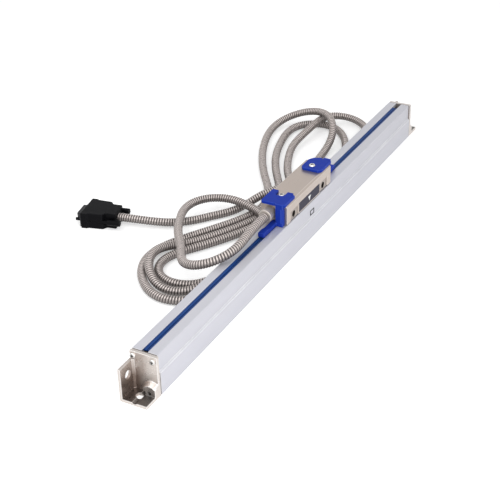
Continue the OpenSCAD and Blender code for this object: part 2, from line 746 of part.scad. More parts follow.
module cable_gland() {
    color("silver") difference() {
        union() {
            rod_x([gland_x + 3, gland_y, gland_axis], gland_r, gland_l - 3);
            rod_x([gland_x, gland_y, gland_axis], conduit_r + 0.6, 4);
            rod_x([gland_x + gland_l - eps, gland_y, gland_axis], 4.46, 6.8);
        }
        rod_x([gland_x - 1, gland_y, gland_axis], lead_r + 0.2, gland_l + 10);
    }
}

// Clamping ring on the end of the gland
module gland_collar() {
    color("silver") translate([gland_x, gland_y, gland_axis]) rotate([0, 90, 0]) rotate_extrude() polygon([
        [conduit_r + 0.65, 0], [gland_r - 0.3, 0], [gland_r + 0.2, 0.5],
        [gland_r + 0.2, 2.5], [gland_r - 0.3, 3 - eps], [conduit_r + 0.65, 3 - eps]]);
}

module lead_bundle() {
    color("black") rod_x([gland_x, gland_y, gland_axis], lead_r, gland_l + (head_l - pocket_l) / 2 + 3.5);
}

// Route of the armoured cable: out of the gland, a raised loop, a loose coil of flat turns
// that cross over and under each other, and the last run to the plug.
function plug_at(y) = [plug_pos[0] - y * sin(plug_turn), plug_pos[1] + y * cos(plug_turn), plug_mid];
route = concat(
    [[gland_x, gland_y, gland_axis]], [
    // The raised loop beside the gland, then back behind the housing
    [-81.9, 4.5, 45.5], [-99, 4.1, 44.2], [-112.5, 8.3, 41.7], [-121.8, 18.2, 37.6],
    [-124.4, 31.4, 32.9], [-119.5, 44.1, 28.9], [-108.8, 54, 26.3], [-91.1, 65.2, 23.9],
    [-63.6, 85, 19.4], [-36.1, 99.8, 15.9], [-18.7, 106.5, 14.4], [-3.8, 107.4, 13.9],
    [9.3, 101.5, 13.9], [17.6, 89.7, 14.1], [19.8, 74.8, 14.4], [16.5, 56.1, 13.6],
    [9.2, 39.1, 12.9], [-2.5, 27.2, 12.9], [-18.4, 21.6, 12.8], [-39.4, 20.6, 12.5],
    // Left turn, the upper one
    [-72.6, 20.9, 12.2], [-96.7, 23.1, 11.1], [-113.4, 29, 8.4], [-124.6, 38.7, 5.7],
    [-129.9, 52.2, 4.5], [-128.2, 66.6, 5.7], [-120, 79.3, 8.8], [-106.4, 89.1, 11.8],
    [-90.5, 93.1, 12], [-74.5, 90.4, 9.2],
    // Forward behind the head
    [-56.3, 81.1, 5.3], [-28, 64.1, 4.3], [3.4, 49.3, 4.3], [29.4, 43.4, 4.3], [53.1, 44.8, 4.3],
    [75.5, 53.8, 4.3], [104.5, 71.9, 4.3],
    // Right turn, the inner one
    [141.7, 91.3, 4.3], [175.2, 101.6, 4.2], [196.1, 105.1, 4.3], [211.4, 103.6, 4.4],
    [223.7, 96, 4.3], [230.6, 83.3, 4.2], [230, 68.8, 4.2], [222.4, 55.9, 4.2],
    [208.4, 44.2, 4.2], [184.5, 32.3, 4.3], [156, 26.4, 4.3], [110.1, 24.8, 4.3],
    // Back behind the housing
    [34.7, 25.4, 4.3], [-32.2, 24.9, 4.3], [-69.3, 25.3, 4.4],
    // Left turn, the inner one
    [-90.4, 27.7, 4.5], [-105.1, 34.1, 4.5], [-114.9, 45.1, 4.4], [-117.9, 59.3, 4.3],
    [-113.2, 73, 4.2], [-102.3, 82.5, 4.2], [-88, 85.1, 4.2],
    // Forward behind the head
    [-73.5, 80.7, 4.2], [-56.3, 69.9, 4.2], [-25.7, 51.6, 4.4], [5.8, 38.6, 4.3],
    [35.7, 33.9, 4.3], [61.4, 36.2, 4.3], [84.2, 45.5, 4.3], [111.3, 62.5, 4.3],
    // Right turn, over the inner one
    [141.2, 76.6, 4.6], [164.2, 82.6, 7.3], [188.9, 81.8, 10.9], [214.1, 80.4, 12.5],
    [229.8, 78.5, 12.5], [242.1, 71.6, 11.5], [249.1, 59.7, 9.5], [249, 46.1, 7.1],
    [241.8, 34.3, 5.1], [229.4, 27.3, 4.2], [212.8, 24.3, 4.3], [184.6, 19.2, 4.4],
    [150.7, 16.2, 4.2], [99.6, 16.3, 4.2],
    // Back behind the housing
    [21, 16.4, 4.3], [-49.2, 16.3, 4.3], [-89.1, 16.7, 4.4],
    // Left turn, the outer one
    [-111.7, 19.3, 4.4], [-127.6, 25.9, 4.3], [-138.3, 37, 4.2], [-142.4, 51.6, 4.2],
    [-139.1, 66.6, 4.3], [-129.2, 80.5, 4.3], [-112.5, 93.6, 4.3], [-93.9, 100.3, 4.3],
    [-74.3, 99.3, 4.3],
    // Forward behind the head
    [-53.8, 91.2, 4.2], [-22.9, 73.8, 4.3], [5.1, 59, 4.4], [26.4, 52.7, 4.2], [47.8, 53.8, 4.2],
    [68.3, 62.5, 4.3],
    // Right turn, over both others
    [94.6, 80.2, 4.3], [136, 104.5, 4.3], [171.2, 118.7, 4.3], [192.1, 123.5, 4.9],
    [207.7, 122.8, 6.8], [220.4, 116.3, 10.2], [227.9, 104.5, 14.5], [228.7, 89.8, 18.8],
    [222.7, 74.2, 21.8], [210.9, 60.6, 21.2], [195.9, 52, 15.6], [177.7, 49, 7.9],
    [155.5, 48, 4.2],
    // Over the forward runs and out to the plug
    [132.4, 43.8, 6.9], [104.8, 40, 12.1], [77.8, 41.9, 13.4], [53.7, 50.5, 13.4],
    [43.9, 56.2, 12.5], [31.9, 63.5, 8.7], [20.9, 70.9, 5.2], [10.3, 78, 4.3], [-1.5, 87.2, 4.3],
    [-13.6, 96.7, 4.3], [-30.8, 115.9, 5.5], [-40.6, 136.6, 7.6]],
    [plug_at(0)]);

function unit(v) = v / norm(v);
function heading(p, i) =
    i == 0 ? [-1, 0, 0] :
    i == len(p) - 1 ? unit(plug_at(1) - plug_at(0)) :
    unit(unit(p[i + 1] - p[i]) + unit(p[i] - p[i - 1]));

// Tube of n sides swept along the points
module tube(p, r, n) {
    rings = [for (i = [0:len(p) - 1])
        let (t = heading(p, i), s = unit(cross(t, [0, 0, 1])), u = cross(s, t))
        [for (k = [0:n - 1]) p[i] + r * (cos(k * 360 / n) * s + sin(k * 360 / n) * u)]];
    m = len(p);
    polyhedron(
        points = [for (ring = rings) each ring],
        faces = concat(
            [[for (k = [0:n - 1]) k]],
            [for (i = [0:m - 2], k = [0:n - 1])
                [i * n + k, (i + 1) * n + k, (i + 1) * n + (k + 1) % n, i * n + (k + 1) % n]],
            [[for (k = [0:n - 1]) m * n - 1 - k]]));
}

module cable_conduit() {
    color("rosybrown") tube(route, conduit_r, 8);
}

// Plug -------------------------------------------------------------------

// Places what follows at the plug: y runs from the cable's end to the mating face
module at_plug() {
    translate([plug_pos[0], plug_pos[1], 0]) rotate([0, 0, plug_turn]) children();
}

// Plan of the hood: neck beside the two thumbscrews, shoulders, flange
module hood_plan(d = 0) {
    n = neck_w / 2 - d;
    w = plug_w / 2 - d;
    polygon([
        [-n, d], [n, d], [n, shoulder_y], [w - 2, shoulder_y + 3], [w - 1.2, plug_l - 7],
        [w, plug_l - 6], [w, plug_l - d], [-w, plug_l - d], [-w, plug_l - 6],
        [-w + 1.2, plug_l - 7], [-w + 2, shoulder_y + 3], [-n, shoulder_y]]);
}

dsub_back = plug_l - 6;
room_y0 = shoulder_y;
room_y1 = dsub_back + 1.2;
room_w = screw_pitch - 2 * thumb_hole - 3;

module hood_half(z0, z1) {
    difference() {
        translate([0, 0, z0]) linear_extrude(z1 - z0) hood_plan();
        box([-room_w / 2, room_w / 2], [room_y0, room_y1], [hood_wall, plug_h - hood_wall]);
        box([-8.7, 8.7], [room_y1 - 1, plug_l + 1], [plug_mid - 4.5, plug_mid + 4.5]);
        rod_y([0, -1, plug_mid], lead_r + 0.1, room_y0 + 2);
        for (x = [-1, 1]) {
            rod_y([x * screw_pitch / 2, shoulder_y - 2, plug_mid], thumb_hole, plug_l);
            rod_y([x * screw_pitch / 2, shoulder_y - 2, plug_mid], 3, 4);
        }
        for (x = [-1, 1]) rod_z([x * 6, 4.5, -1], 1, plug_h - 1.5);
        for (x = [-1, 1]) rod_z([x * 6, 4.5, -1], 2, 2.4);
    }
}
module hood_lower() { color("black") at_plug() hood_half(0, plug_mid); }
module hood_upper() { color("black") at_plug() hood_half(plug_mid, plug_h); }

module hood_screws() {
    color("silver") at_plug() for (x = [-1, 1]) translate([x * 6, 4.5, 1.4]) mirror([0, 0, 1])
        cross_screw(1.9, 1.1, 0.98, plug_h - 5);
}

module plug_leads() {
    color("black") at_plug() rod_y([0, 0, plug_mid], lead_r, dsub_back - 3.5);
}

// Strap that grips the leads inside the hood
module cable_clamp() {
    color("silver") at_plug() difference() {
        union() {
            rod_y([0, room_y0 + 0.5, plug_mid], lead_r + 1.6, 3);
            box([-room_w / 2, room_w / 2], [room_y0 + 0.5, room_y0 + 3.5], [plug_mid - 0.6, plug_mid + 0.6]);
        }
        rod_y([0, room_y0 - 1, plug_mid], lead_r, 6);
    }
}

// D-shaped outline, wide side up
module dsub_outline(d = 0) {
    polygon([
        [-7 + d, -4.1 + d], [7 - d, -4.1 + d], [7.9 - d, -3.4 + d], [8.5 - d, 3.2 - d],
        [7.8 - d, 4.1 - d], [-7.8 + d, 4.1 - d], [-8.5 + d, 3.2 - d], [-7.9 + d, -3.4 + d]]);
}

module dsub_shell() {
    color("silver") at_plug() difference() {
        union() {
            box([-plug_w / 2 + 0.3, plug_w / 2 - 0.3], [plug_l, plug_l + dsub_t], [plug_mid - 6.2, plug_mid + 6.2]);
            translate([0, plug_l + 6, plug_mid]) rotate([90, 0, 0]) linear_extrude(6) dsub_outline();
        }
        translate([0, plug_l + 7, plug_mid]) rotate([90, 0, 0]) linear_extrude(8) dsub_outline(0.5);
        for (x = [-1, 1]) rod_y([x * screw_pitch / 2, plug_l - 1, plug_mid], thumb_r + 0.2, 3);
    }
}

// Positions of the nine contacts
contacts = concat(
    [for (i = [-2:2]) [i * pin_pitch, 1.42]],
    [for (i = [-1.5:1:1.5]) [i * pin_pitch, -1.42]]);

module dsub_insulator() {
    color("dimgray") at_plug() difference() {
        translate([0, plug_l + 1.2, plug_mid]) rotate([90, 0, 0]) linear_extrude(7.2) dsub_outline(0.55);
        for (c = contacts) rod_y([c[0], dsub_back - 1, plug_mid + c[1]], 0.5, 10);
    }
}

module contact_pins() {
    color("gold") at_plug() for (c = contacts)
        rod_y([c[0], dsub_back - 3, plug_mid + c[1]], 0.5, 8.6);
}

// Long-headed screw with a driver slot
module thumbscrew(x) {
    head_end = shoulder_y - 2;
    color("silver") at_plug() difference() {
        union() {
            rod_y([x, -5.5, plug_mid], thumb_head_r, head_end + 5.5);
            rod_y([x, head_end - eps, plug_mid], thumb_r, plug_l + 5.5 - head_end);
        }
        box([x - 4, x + 4], [-7, -4.5], [plug_mid - 0.4, plug_mid + 0.4]);
    }
}
module thumbscrew_a() { thumbscrew(-screw_pitch / 2); }
module thumbscrew_b() { thumbscrew(screw_pitch / 2); }

housing_extrusion();
lip_seal_front();
lip_seal_back();
glass_scale();
glass_bond_strip();
end_block_near();
end_block_far();
end_gasket_near();
end_gasket_far();
end_screws_near();
end_screws_far();
head_body();
head_base_plate();
base_plate_screws();
head_label_plate();
scanning_arm();
arm_screws();
coupling_wire();
preload_spring();
carriage_frame();
roller_pins();
light_source();
condenser_lens();
index_grating();
detector_board();
photodiode_array();
flex_lead();
signal_board();
board_screws();
transit_clip_near();
transit_clip_far();
clip_screws();
cable_gland();
gland_collar();
lead_bundle();
cable_conduit();
hood_lower();
hood_upper();
hood_screws();
plug_leads();
cable_clamp();
dsub_shell();
dsub_insulator();
contact_pins();
face_roller_a();
face_roller_b();
face_roller_c();
edge_roller_a();
edge_roller_b();
thumbscrew_a();
thumbscrew_b();
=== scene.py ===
import math

import bmesh
import bpy
import numpy as np
from bpy.props import FloatProperty, FloatVectorProperty, IntProperty, PointerProperty
from mathutils import Matrix, Vector
from mathutils.bvhtree import BVHTree


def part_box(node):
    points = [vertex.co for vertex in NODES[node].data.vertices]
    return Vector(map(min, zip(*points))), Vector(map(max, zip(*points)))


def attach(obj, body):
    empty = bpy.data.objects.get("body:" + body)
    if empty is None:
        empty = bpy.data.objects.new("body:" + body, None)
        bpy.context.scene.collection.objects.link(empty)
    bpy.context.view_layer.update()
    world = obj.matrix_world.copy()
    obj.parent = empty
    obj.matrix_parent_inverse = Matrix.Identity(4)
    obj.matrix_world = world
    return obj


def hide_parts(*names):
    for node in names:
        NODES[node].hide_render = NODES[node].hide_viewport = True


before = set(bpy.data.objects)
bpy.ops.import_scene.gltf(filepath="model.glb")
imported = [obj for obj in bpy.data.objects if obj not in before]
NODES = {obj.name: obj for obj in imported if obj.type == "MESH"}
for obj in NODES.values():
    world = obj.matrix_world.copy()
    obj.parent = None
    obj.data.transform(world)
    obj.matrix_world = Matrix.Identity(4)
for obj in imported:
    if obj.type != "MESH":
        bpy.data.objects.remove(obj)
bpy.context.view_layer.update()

bl_info = {
    "name": "Linear Glass Scale",
    "version": (1, 0, 0),
    "blender": (4, 5, 0),
    "location": "3D View > Sidebar > Scale",
    "description": "Shaped pieces, finishes, hose and studio for the packed glass scale",
    "category": "Object",
}

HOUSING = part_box("housing_extrusion")
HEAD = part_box("head_body")

# The profile: how far its upper front face stands back, the height that its front step lies
# below, and its screw ports as (y, z)
FACE_BACK = 0.0015
STEP_BELOW = 0.032
PORTS = ((0.008, 0.0324), (-0.0092, 0.0318), (-0.0016, 0.0044))

# The head's mounting holes, and the top of the pads round them
HOLE_PITCH = 0.06
HOLE_R = 0.003
HOLE_Z = 0.041
PAD_TOP = 0.0465

# A lip: how far it reaches past the solid lip, and where its thick foot ends
LIP_REACH = 0.0004
LIP_BEND = 0.0028

# The square printed on the profile: its sides, and how much wider its upright lines are
SQUARE_X = (0.009, 0.0175)
SQUARE_Z = (0.023, 0.0283)
UPRIGHT_LINE = 1.35

# The pointer on the label: half its width, and its reach up and down
POINTER_HALF = 0.0028
POINTER_UP = 0.0022
POINTER_DOWN = 0.0028

# Prints: how far each stands out of its face, and how far it reaches in
INK_OUT = 0.00003
POINTER_OUT = 0.00004
PRINT_IN = 0.0001

# Rounding of the small pieces
SCREW_EDGE = 0.00008
CLIP_SCREW_EDGE = 0.00012
LABEL_EDGE = 0.0001
THUMBSCREW_EDGE = 0.00015
COLLAR_EDGE = 0.0002
SHELL_EDGE = 0.00025
GLAND_EDGE = 0.0003

# Points closer than WELD are one, and faces within FLAT are one flat. Edges past SHARP are
# rounded, and a new point may leave the form by STRAY of the rounding's width
WELD = 2e-6
FLAT = math.radians(0.6)
SHARP = math.radians(28)
STRAY = 0.6

# Painted shade: a dull colour for the shaded corners of a casting
CORNER_SHADE = (0.33, 0.26, 0.225)

# Paper under and behind the scale
PAPER_FRONT = -2.6
PAPER_DEPTH = 2.2
PAPER_CURVE = 0.7
PAPER_TOP = 2.6
PAPER_HALF_WIDTH = 3.2
PAPER_TURN = math.radians(-61)
PAPER_STEPS = 24
PAPER_GLOW = 0.42

# Each lamp's name, place, size and power, and the point that all of them face
LAMPS = (("key_lamp", (-0.62, -0.66, 0.62), 0.8, 5.2),
         ("fill_lamp", (-1.6, 0.7, 1.2), 1.6, 0.8),
         ("top_lamp", (-0.55, 0.2, 1.1), 1.0, 4.6))
LAMPS_FACE = (0, 0.03, 0)

# The camera's place, its own directions and its lens
CAMERA_AT = (-0.823, -0.408, 0.5368)
CAMERA_RIGHT = (0.47197, -0.88133, -0.02242)
CAMERA_UP = (0.46027, 0.22463, 0.85889)
CAMERA_AHEAD = (0.75193, 0.41569, -0.51166)
CAMERA_LENS = 83.5
CAMERA_SENSOR = 36.0

# The hose: where it leaves the gland, where it enters the plug, the step of its path, and one
# rib as (place along the pitch, depth), where depth 1 is the bottom of the groove
PLUG_AT = (-0.046, 0.161, 0.0078)
PATH_STEP = 0.001
RIB = ((0.0, 0.5), (0.1, 0.0), (0.42, 0.0), (0.52, 0.5), (0.6, 1.0), (0.9, 1.0))

# Route of the armoured hose, in millimetres, as the CAD solid follows it
ROUTE = [
    (-47.5, 5.3, 46.5),
    # The raised loop beside the gland, then back behind the housing
    (-81.9, 4.5, 45.5), (-99, 4.1, 44.2), (-112.5, 8.3, 41.7), (-121.8, 18.2, 37.6),
    (-124.4, 31.4, 32.9), (-119.5, 44.1, 28.9), (-108.8, 54, 26.3), (-91.1, 65.2, 23.9),
    (-63.6, 85, 19.4), (-36.1, 99.8, 15.9), (-18.7, 106.5, 14.4), (-3.8, 107.4, 13.9),
    (9.3, 101.5, 13.9), (17.6, 89.7, 14.1), (19.8, 74.8, 14.4), (16.5, 56.1, 13.6),
    (9.2, 39.1, 12.9), (-2.5, 27.2, 12.9), (-18.4, 21.6, 12.8), (-39.4, 20.6, 12.5),
    # Left turn, the upper one
    (-72.6, 20.9, 12.2), (-96.7, 23.1, 11.1), (-113.4, 29, 8.4), (-124.6, 38.7, 5.7),
    (-129.9, 52.2, 4.5), (-128.2, 66.6, 5.7), (-120, 79.3, 8.8), (-106.4, 89.1, 11.8),
    (-90.5, 93.1, 12), (-74.5, 90.4, 9.2),
    # Forward behind the head
    (-56.3, 81.1, 5.3), (-28, 64.1, 4.3), (3.4, 49.3, 4.3), (29.4, 43.4, 4.3), (53.1, 44.8, 4.3),
    (75.5, 53.8, 4.3), (104.5, 71.9, 4.3),
    # Right turn, the inner one
    (141.7, 91.3, 4.3), (175.2, 101.6, 4.2), (196.1, 105.1, 4.3), (211.4, 103.6, 4.4),
    (223.7, 96, 4.3), (230.6, 83.3, 4.2), (230, 68.8, 4.2), (222.4, 55.9, 4.2),
    (208.4, 44.2, 4.2), (184.5, 32.3, 4.3), (156, 26.4, 4.3), (110.1, 24.8, 4.3),
    # Back behind the housing
    (34.7, 25.4, 4.3), (-32.2, 24.9, 4.3), (-69.3, 25.3, 4.4),
    # Left turn, the inner one
    (-90.4, 27.7, 4.5), (-105.1, 34.1, 4.5), (-114.9, 45.1, 4.4), (-117.9, 59.3, 4.3),
    (-113.2, 73, 4.2), (-102.3, 82.5, 4.2), (-88, 85.1, 4.2),
    # Forward behind the head
    (-73.5, 80.7, 4.2), (-56.3, 69.9, 4.2), (-25.7, 51.6, 4.4), (5.8, 38.6, 4.3),
    (35.7, 33.9, 4.3), (61.4, 36.2, 4.3), (84.2, 45.5, 4.3), (111.3, 62.5, 4.3),
    # Right turn, over the inner one
    (141.2, 76.6, 4.6), (164.2, 82.6, 7.3), (188.9, 81.8, 10.9), (214.1, 80.4, 12.5),
    (229.8, 78.5, 12.5), (242.1, 71.6, 11.5), (249.1, 59.7, 9.5), (249, 46.1, 7.1),
    (241.8, 34.3, 5.1), (229.4, 27.3, 4.2), (212.8, 24.3, 4.3), (184.6, 19.2, 4.4),
    (150.7, 16.2, 4.2), (99.6, 16.3, 4.2),
    # Back behind the housing
    (21, 16.4, 4.3), (-49.2, 16.3, 4.3), (-89.1, 16.7, 4.4),
    # Left turn, the outer one
    (-111.7, 19.3, 4.4), (-127.6, 25.9, 4.3), (-138.3, 37, 4.2), (-142.4, 51.6, 4.2),
    (-139.1, 66.6, 4.3), (-129.2, 80.5, 4.3), (-112.5, 93.6, 4.3), (-93.9, 100.3, 4.3),
    (-74.3, 99.3, 4.3),
    # Forward behind the head
    (-53.8, 91.2, 4.2), (-22.9, 73.8, 4.3), (5.1, 59, 4.4), (26.4, 52.7, 4.2), (47.8, 53.8, 4.2),
    (68.3, 62.5, 4.3),
    # Right turn, over both others
    (94.6, 80.2, 4.3), (136, 104.5, 4.3), (171.2, 118.7, 4.3), (192.1, 123.5, 4.9),
    (207.7, 122.8, 6.8), (220.4, 116.3, 10.2), (227.9, 104.5, 14.5), (228.7, 89.8, 18.8),
    (222.7, 74.2, 21.8), (210.9, 60.6, 21.2), (195.9, 52, 15.6), (177.7, 49, 7.9),
    (155.5, 48, 4.2),
    # Over the forward runs and out to the plug
    (132.4, 43.8, 6.9), (104.8, 40, 12.1), (77.8, 41.9, 13.4), (53.7, 50.5, 13.4),
    (43.9, 56.2, 12.5), (31.9, 63.5, 8.7), (20.9, 70.9, 5.2), (10.3, 78, 4.3), (-1.5, 87.2, 4.3),
    (-13.6, 96.7, 4.3), (-30.8, 115.9, 5.5), (-40.6, 136.6, 7.6),
]


# Sizes and colours ------------------------

def length(name, text, default):
    """A size that a user may change."""
    return FloatProperty(name=name, description=text, default=default, min=0.0, unit="LENGTH",
                         subtype="DISTANCE", precision=5)


def colour(name, text, default):
    """A colour that a user may change."""
    return FloatVectorProperty(name=name, description=text, default=default, size=3,
                               min=0.0, max=1.0, subtype="COLOR")


class ScaleSizes(bpy.types.PropertyGroup):
    """Sizes of the dressed pieces"""
    profile_edge: length("Profile Edge", "Radius of the profile's cut edges", 0.00022)
    casting_edge: length("Casting Edge", "Radius of the end blocks' edges", 0.00045)
    head_edge: length("Head Edge", "Radius of the reader head's edges", 0.0003)
    clip_edge: length("Clip Edge", "Radius of the transit clips' edges", 0.0005)
    hood_edge: length("Hood Edge", "Radius of the plug hood's edges", 0.0006)
    hose_radius: length("Hose Radius", "Outer radius of the armoured hose", 0.004)
    rib_pitch: length("Rib Pitch", "Distance from one rib of the hose to the next", 0.0024)
    rib_depth: length("Rib Depth", "Depth of the groove between two ribs", 0.00042)
    hose_sides: IntProperty(name="Hose Sides", description="Facets round the hose", default=12,
                            min=8, max=32)
    mark_line: length("Mark Line", "Width of the printed square's line", 0.00115)


class ScaleColours(bpy.types.PropertyGroup):
    """Colours of the visible pieces"""
    profile: colour("Profile", "Satin anodised aluminium", (0.60, 0.60, 0.65))
    casting: colour("End Blocks", "Nickel-plated casting", (0.61, 0.56, 0.525))
    head: colour("Reader Head", "Satin nickel", (0.50, 0.43, 0.385))
    clip: colour("Transit Clips", "Moulded plastic", (0.010, 0.037, 0.35))
    seal: colour("Lip Seals", "Seal rubber", (0.006, 0.045, 0.20))
    hose: colour("Hose", "Steel hose", (0.62, 0.555, 0.53))
    hood: colour("Plug Hood", "Moulded plastic", (0.004, 0.004, 0.005))
    label: colour("Label", "Label plate", (0.036, 0.033, 0.056))


# Mesh helpers -----------------------------

def mesh_of(name, verts, faces):
    """A mesh from its points and faces."""
    mesh = bpy.data.meshes.new(name)
    mesh.from_pydata(verts, [], faces)
    return mesh


def face_outwards(mesh, weld=0.0):
    """Turn the faces outwards, once points closer than weld are joined."""
    bm = bmesh.new()
    bm.from_mesh(mesh)
    if weld:
        bmesh.ops.remove_doubles(bm, verts=bm.verts, dist=weld)
    bmesh.ops.recalc_face_normals(bm, faces=bm.faces)
    bm.to_mesh(mesh)
    bm.free()


def place(mesh, name, body, replaced=(), finishes=()):
    """Link a mesh as a piece of the scale."""
    piece = bpy.data.objects.new(name, mesh)
    bpy.context.scene.collection.objects.link(piece)
    for mat in finishes:
        mesh.materials.append(mat)
    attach(piece, body)
    if replaced:
        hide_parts(*replaced)
    return piece


def settle(piece):
    """Bake the piece's modifiers into its mesh."""
    graph = bpy.context.evaluated_depsgraph_get()
    done = bpy.data.meshes.new_from_object(piece.evaluated_get(graph), depsgraph=graph)
    old = piece.data
    piece.modifiers.clear()
    piece.data = done
    done.name = piece.name
    bpy.data.meshes.remove(old)
    return piece


def smooth_faces(piece, angle=32.0):
    """Smooth shading that keeps large flats flat."""
    for face in piece.data.polygons:
        face.use_smooth = True
    piece.data.set_sharp_from_angle(angle=math.radians(angle))
    weighted = piece.modifiers.new("flats", "WEIGHTED_NORMAL")
    weighted.keep_sharp = True
    return settle(piece)


def round_edges(bm, width, crowded=None):
    """Round the sharp edges, except crowded ones, and mark the new faces for wear and a painted
    highlight.
    """
    worn = bm.faces.layers.float.get("worn") or bm.faces.layers.float.new("worn")
    before = BVHTree.FromBMesh(bm)
    edges = [e for e in bm.edges
             if len(e.link_faces) == 2 and e.calc_face_angle(0.0) > SHARP
             and not (crowded and crowded(e))]
    made = bmesh.ops.bevel(bm, geom=edges, offset=width, offset_type="OFFSET", segments=2,
                           profile=0.5, affect="EDGES", clamp_overlap=False, loop_slide=True)
    for face in made["faces"]:
        face[worn] = 1.0
    # Where the rounding of a small form runs past it, the point goes back to the form
    for vert in bm.verts:
        spot, _, _, away = before.find_nearest(vert.co)
        if away > STRAY * width:
            vert.co = spot


def rounded_node(node, name, width, body, finishes, marks=None, crowded=None):
    """The node's own form with rounded edges, standing in for it.

    marks gives face marks by name, each a test of a face that says how strong its mark is.
    crowded is a test for the edges that have no room for rounding.
    """
    bm = bmesh.new()
    bm.from_mesh(NODES[node].data)
    bmesh.ops.remove_doubles(bm, verts=bm.verts, dist=WELD)
    bmesh.ops.dissolve_limit(bm, angle_limit=FLAT, verts=bm.verts, edges=bm.edges)
    round_edges(bm, width, crowded)
    bm.normal_update()
    for mark, test in (marks or {}).items():
        layer = bm.faces.layers.float.get(mark) or bm.faces.layers.float.new(mark)
        for face in bm.faces:
            face[layer] = max(face[layer], test(face))
    mesh = bpy.data.meshes.new(name)
    bm.to_mesh(mesh)
    bm.free()
    return smooth_faces(place(mesh, name, body, (node,), finishes))


def sweep_x(name, outline, x0, x1, body, replaced, finishes):
    """A Y-Z outline swept along the housing."""
    n = len(outline)
    verts = [(x, y, z) for x in (x0, x1) for y, z in outline]
    faces = [tuple(range(n - 1, -1, -1)), tuple(range(n, 2 * n))]
    faces += [(i, (i + 1) % n, n + (i + 1) % n, n + i) for i in range(n)]
    mesh = mesh_of(name, verts, faces)
    face_outwards(mesh)
    return smooth_faces(place(mesh, name, body, replaced, finishes))


# Shader helpers ---------------------------

def effect(name, inputs, outputs):
    """A shader node group with its named sockets."""
    tree = bpy.data.node_groups.new(name, "ShaderNodeTree")
    for label, kind, value in inputs:
        socket = tree.interface.new_socket(label, in_out="INPUT", socket_type=kind)
        socket.default_value = value
    for label, kind in outputs:
        tree.interface.new_socket(label, in_out="OUTPUT", socket_type=kind)
    return tree, tree.nodes.new("NodeGroupInput"), tree.nodes.new("NodeGroupOutput")


def math_node(tree, kind, a, b, clamp=False):
    """The output of a Math node fed by plain values or sockets."""
    node = tree.nodes.new("ShaderNodeMath")
    node.operation = kind
    node.use_clamp = clamp
    for socket, value in zip(node.inputs, (a, b)):
        if isinstance(value, (int, float)):
            socket.default_value = value
        else:
            tree.links.new(value, socket)
    return node.outputs[0]


def mixed(tree, mask, first, second):
    """Mix a colour towards a second one, a socket or a plain colour, by a mask."""
    mix = tree.nodes.new("ShaderNodeMix")
    mix.data_type = "RGBA"
    tree.links.new(mask, mix.inputs["Factor"])
    tree.links.new(first, mix.inputs["A"])
    if isinstance(second, tuple):
        mix.inputs["B"].default_value = (*second, 1.0)
    else:
        tree.links.new(second, mix.inputs["B"])
    return mix.outputs["Result"]


def surface_mark(tree, name):
    """How strong a mark is that the mesh carries."""
    node = tree.nodes.new("ShaderNodeAttribute")
    node.attribute_name = name
    return node.outputs["Fac"]


def object_place(tree):
    """The place of each point of the surface, in the scale's own frame."""
    return tree.nodes.new("ShaderNodeTexCoord").outputs["Object"]


def noise_over(tree, place_from, detail, roughness=0.5):
    """A noise over the places that a socket gives."""
    noise = tree.nodes.new("ShaderNodeTexNoise")
    noise.inputs["Detail"].default_value = detail
    noise.inputs["Roughness"].default_value = roughness
    tree.links.new(place_from, noise.inputs["Vector"])
    return noise


def give_noise(tree, given, out, noise):
    """Lead a noise out of its effect, as a height and as a mask."""
    centred = math_node(tree, "SUBTRACT", noise.outputs["Fac"], 0.5)
    height = math_node(tree, "MULTIPLY", centred, given.outputs["Amount"])
    tree.links.new(height, out.inputs["Height"])
    tree.links.new(noise.outputs["Fac"], out.inputs["Mask"])


def build_grain():
    """Fine even grain of a moulded, cast or blasted surface."""
    tree, given, out = effect("surface_grain",
                              [("Scale", "NodeSocketFloat", 900.0),
                               ("Amount", "NodeSocketFloat", 0.5)],
                              [("Height", "NodeSocketFloat"), ("Mask", "NodeSocketFloat")])
    noise = noise_over(tree, object_place(tree), 3.0, 0.6)
    tree.links.new(given.outputs["Scale"], noise.inputs["Scale"])
    give_noise(tree, given, out, noise)
    return tree


def build_streaks():
    """Fine lines left along the direction of drawing, brushing or grinding."""
    tree, given, out = effect("drawn_lines",
                              [("Stretch", "NodeSocketVector", (12.0, 900.0, 900.0)),
                               ("Amount", "NodeSocketFloat", 0.5)],
                              [("Height", "NodeSocketFloat"), ("Mask", "NodeSocketFloat")])
    stretched = tree.nodes.new("ShaderNodeVectorMath")
    stretched.operation = "MULTIPLY"
    tree.links.new(object_place(tree), stretched.inputs[0])
    tree.links.new(given.outputs["Stretch"], stretched.inputs[1])
    noise = noise_over(tree, stretched.outputs[0], 4.0, 0.65)
    noise.inputs["Scale"].default_value = 1.0
    give_noise(tree, given, out, noise)
    return tree


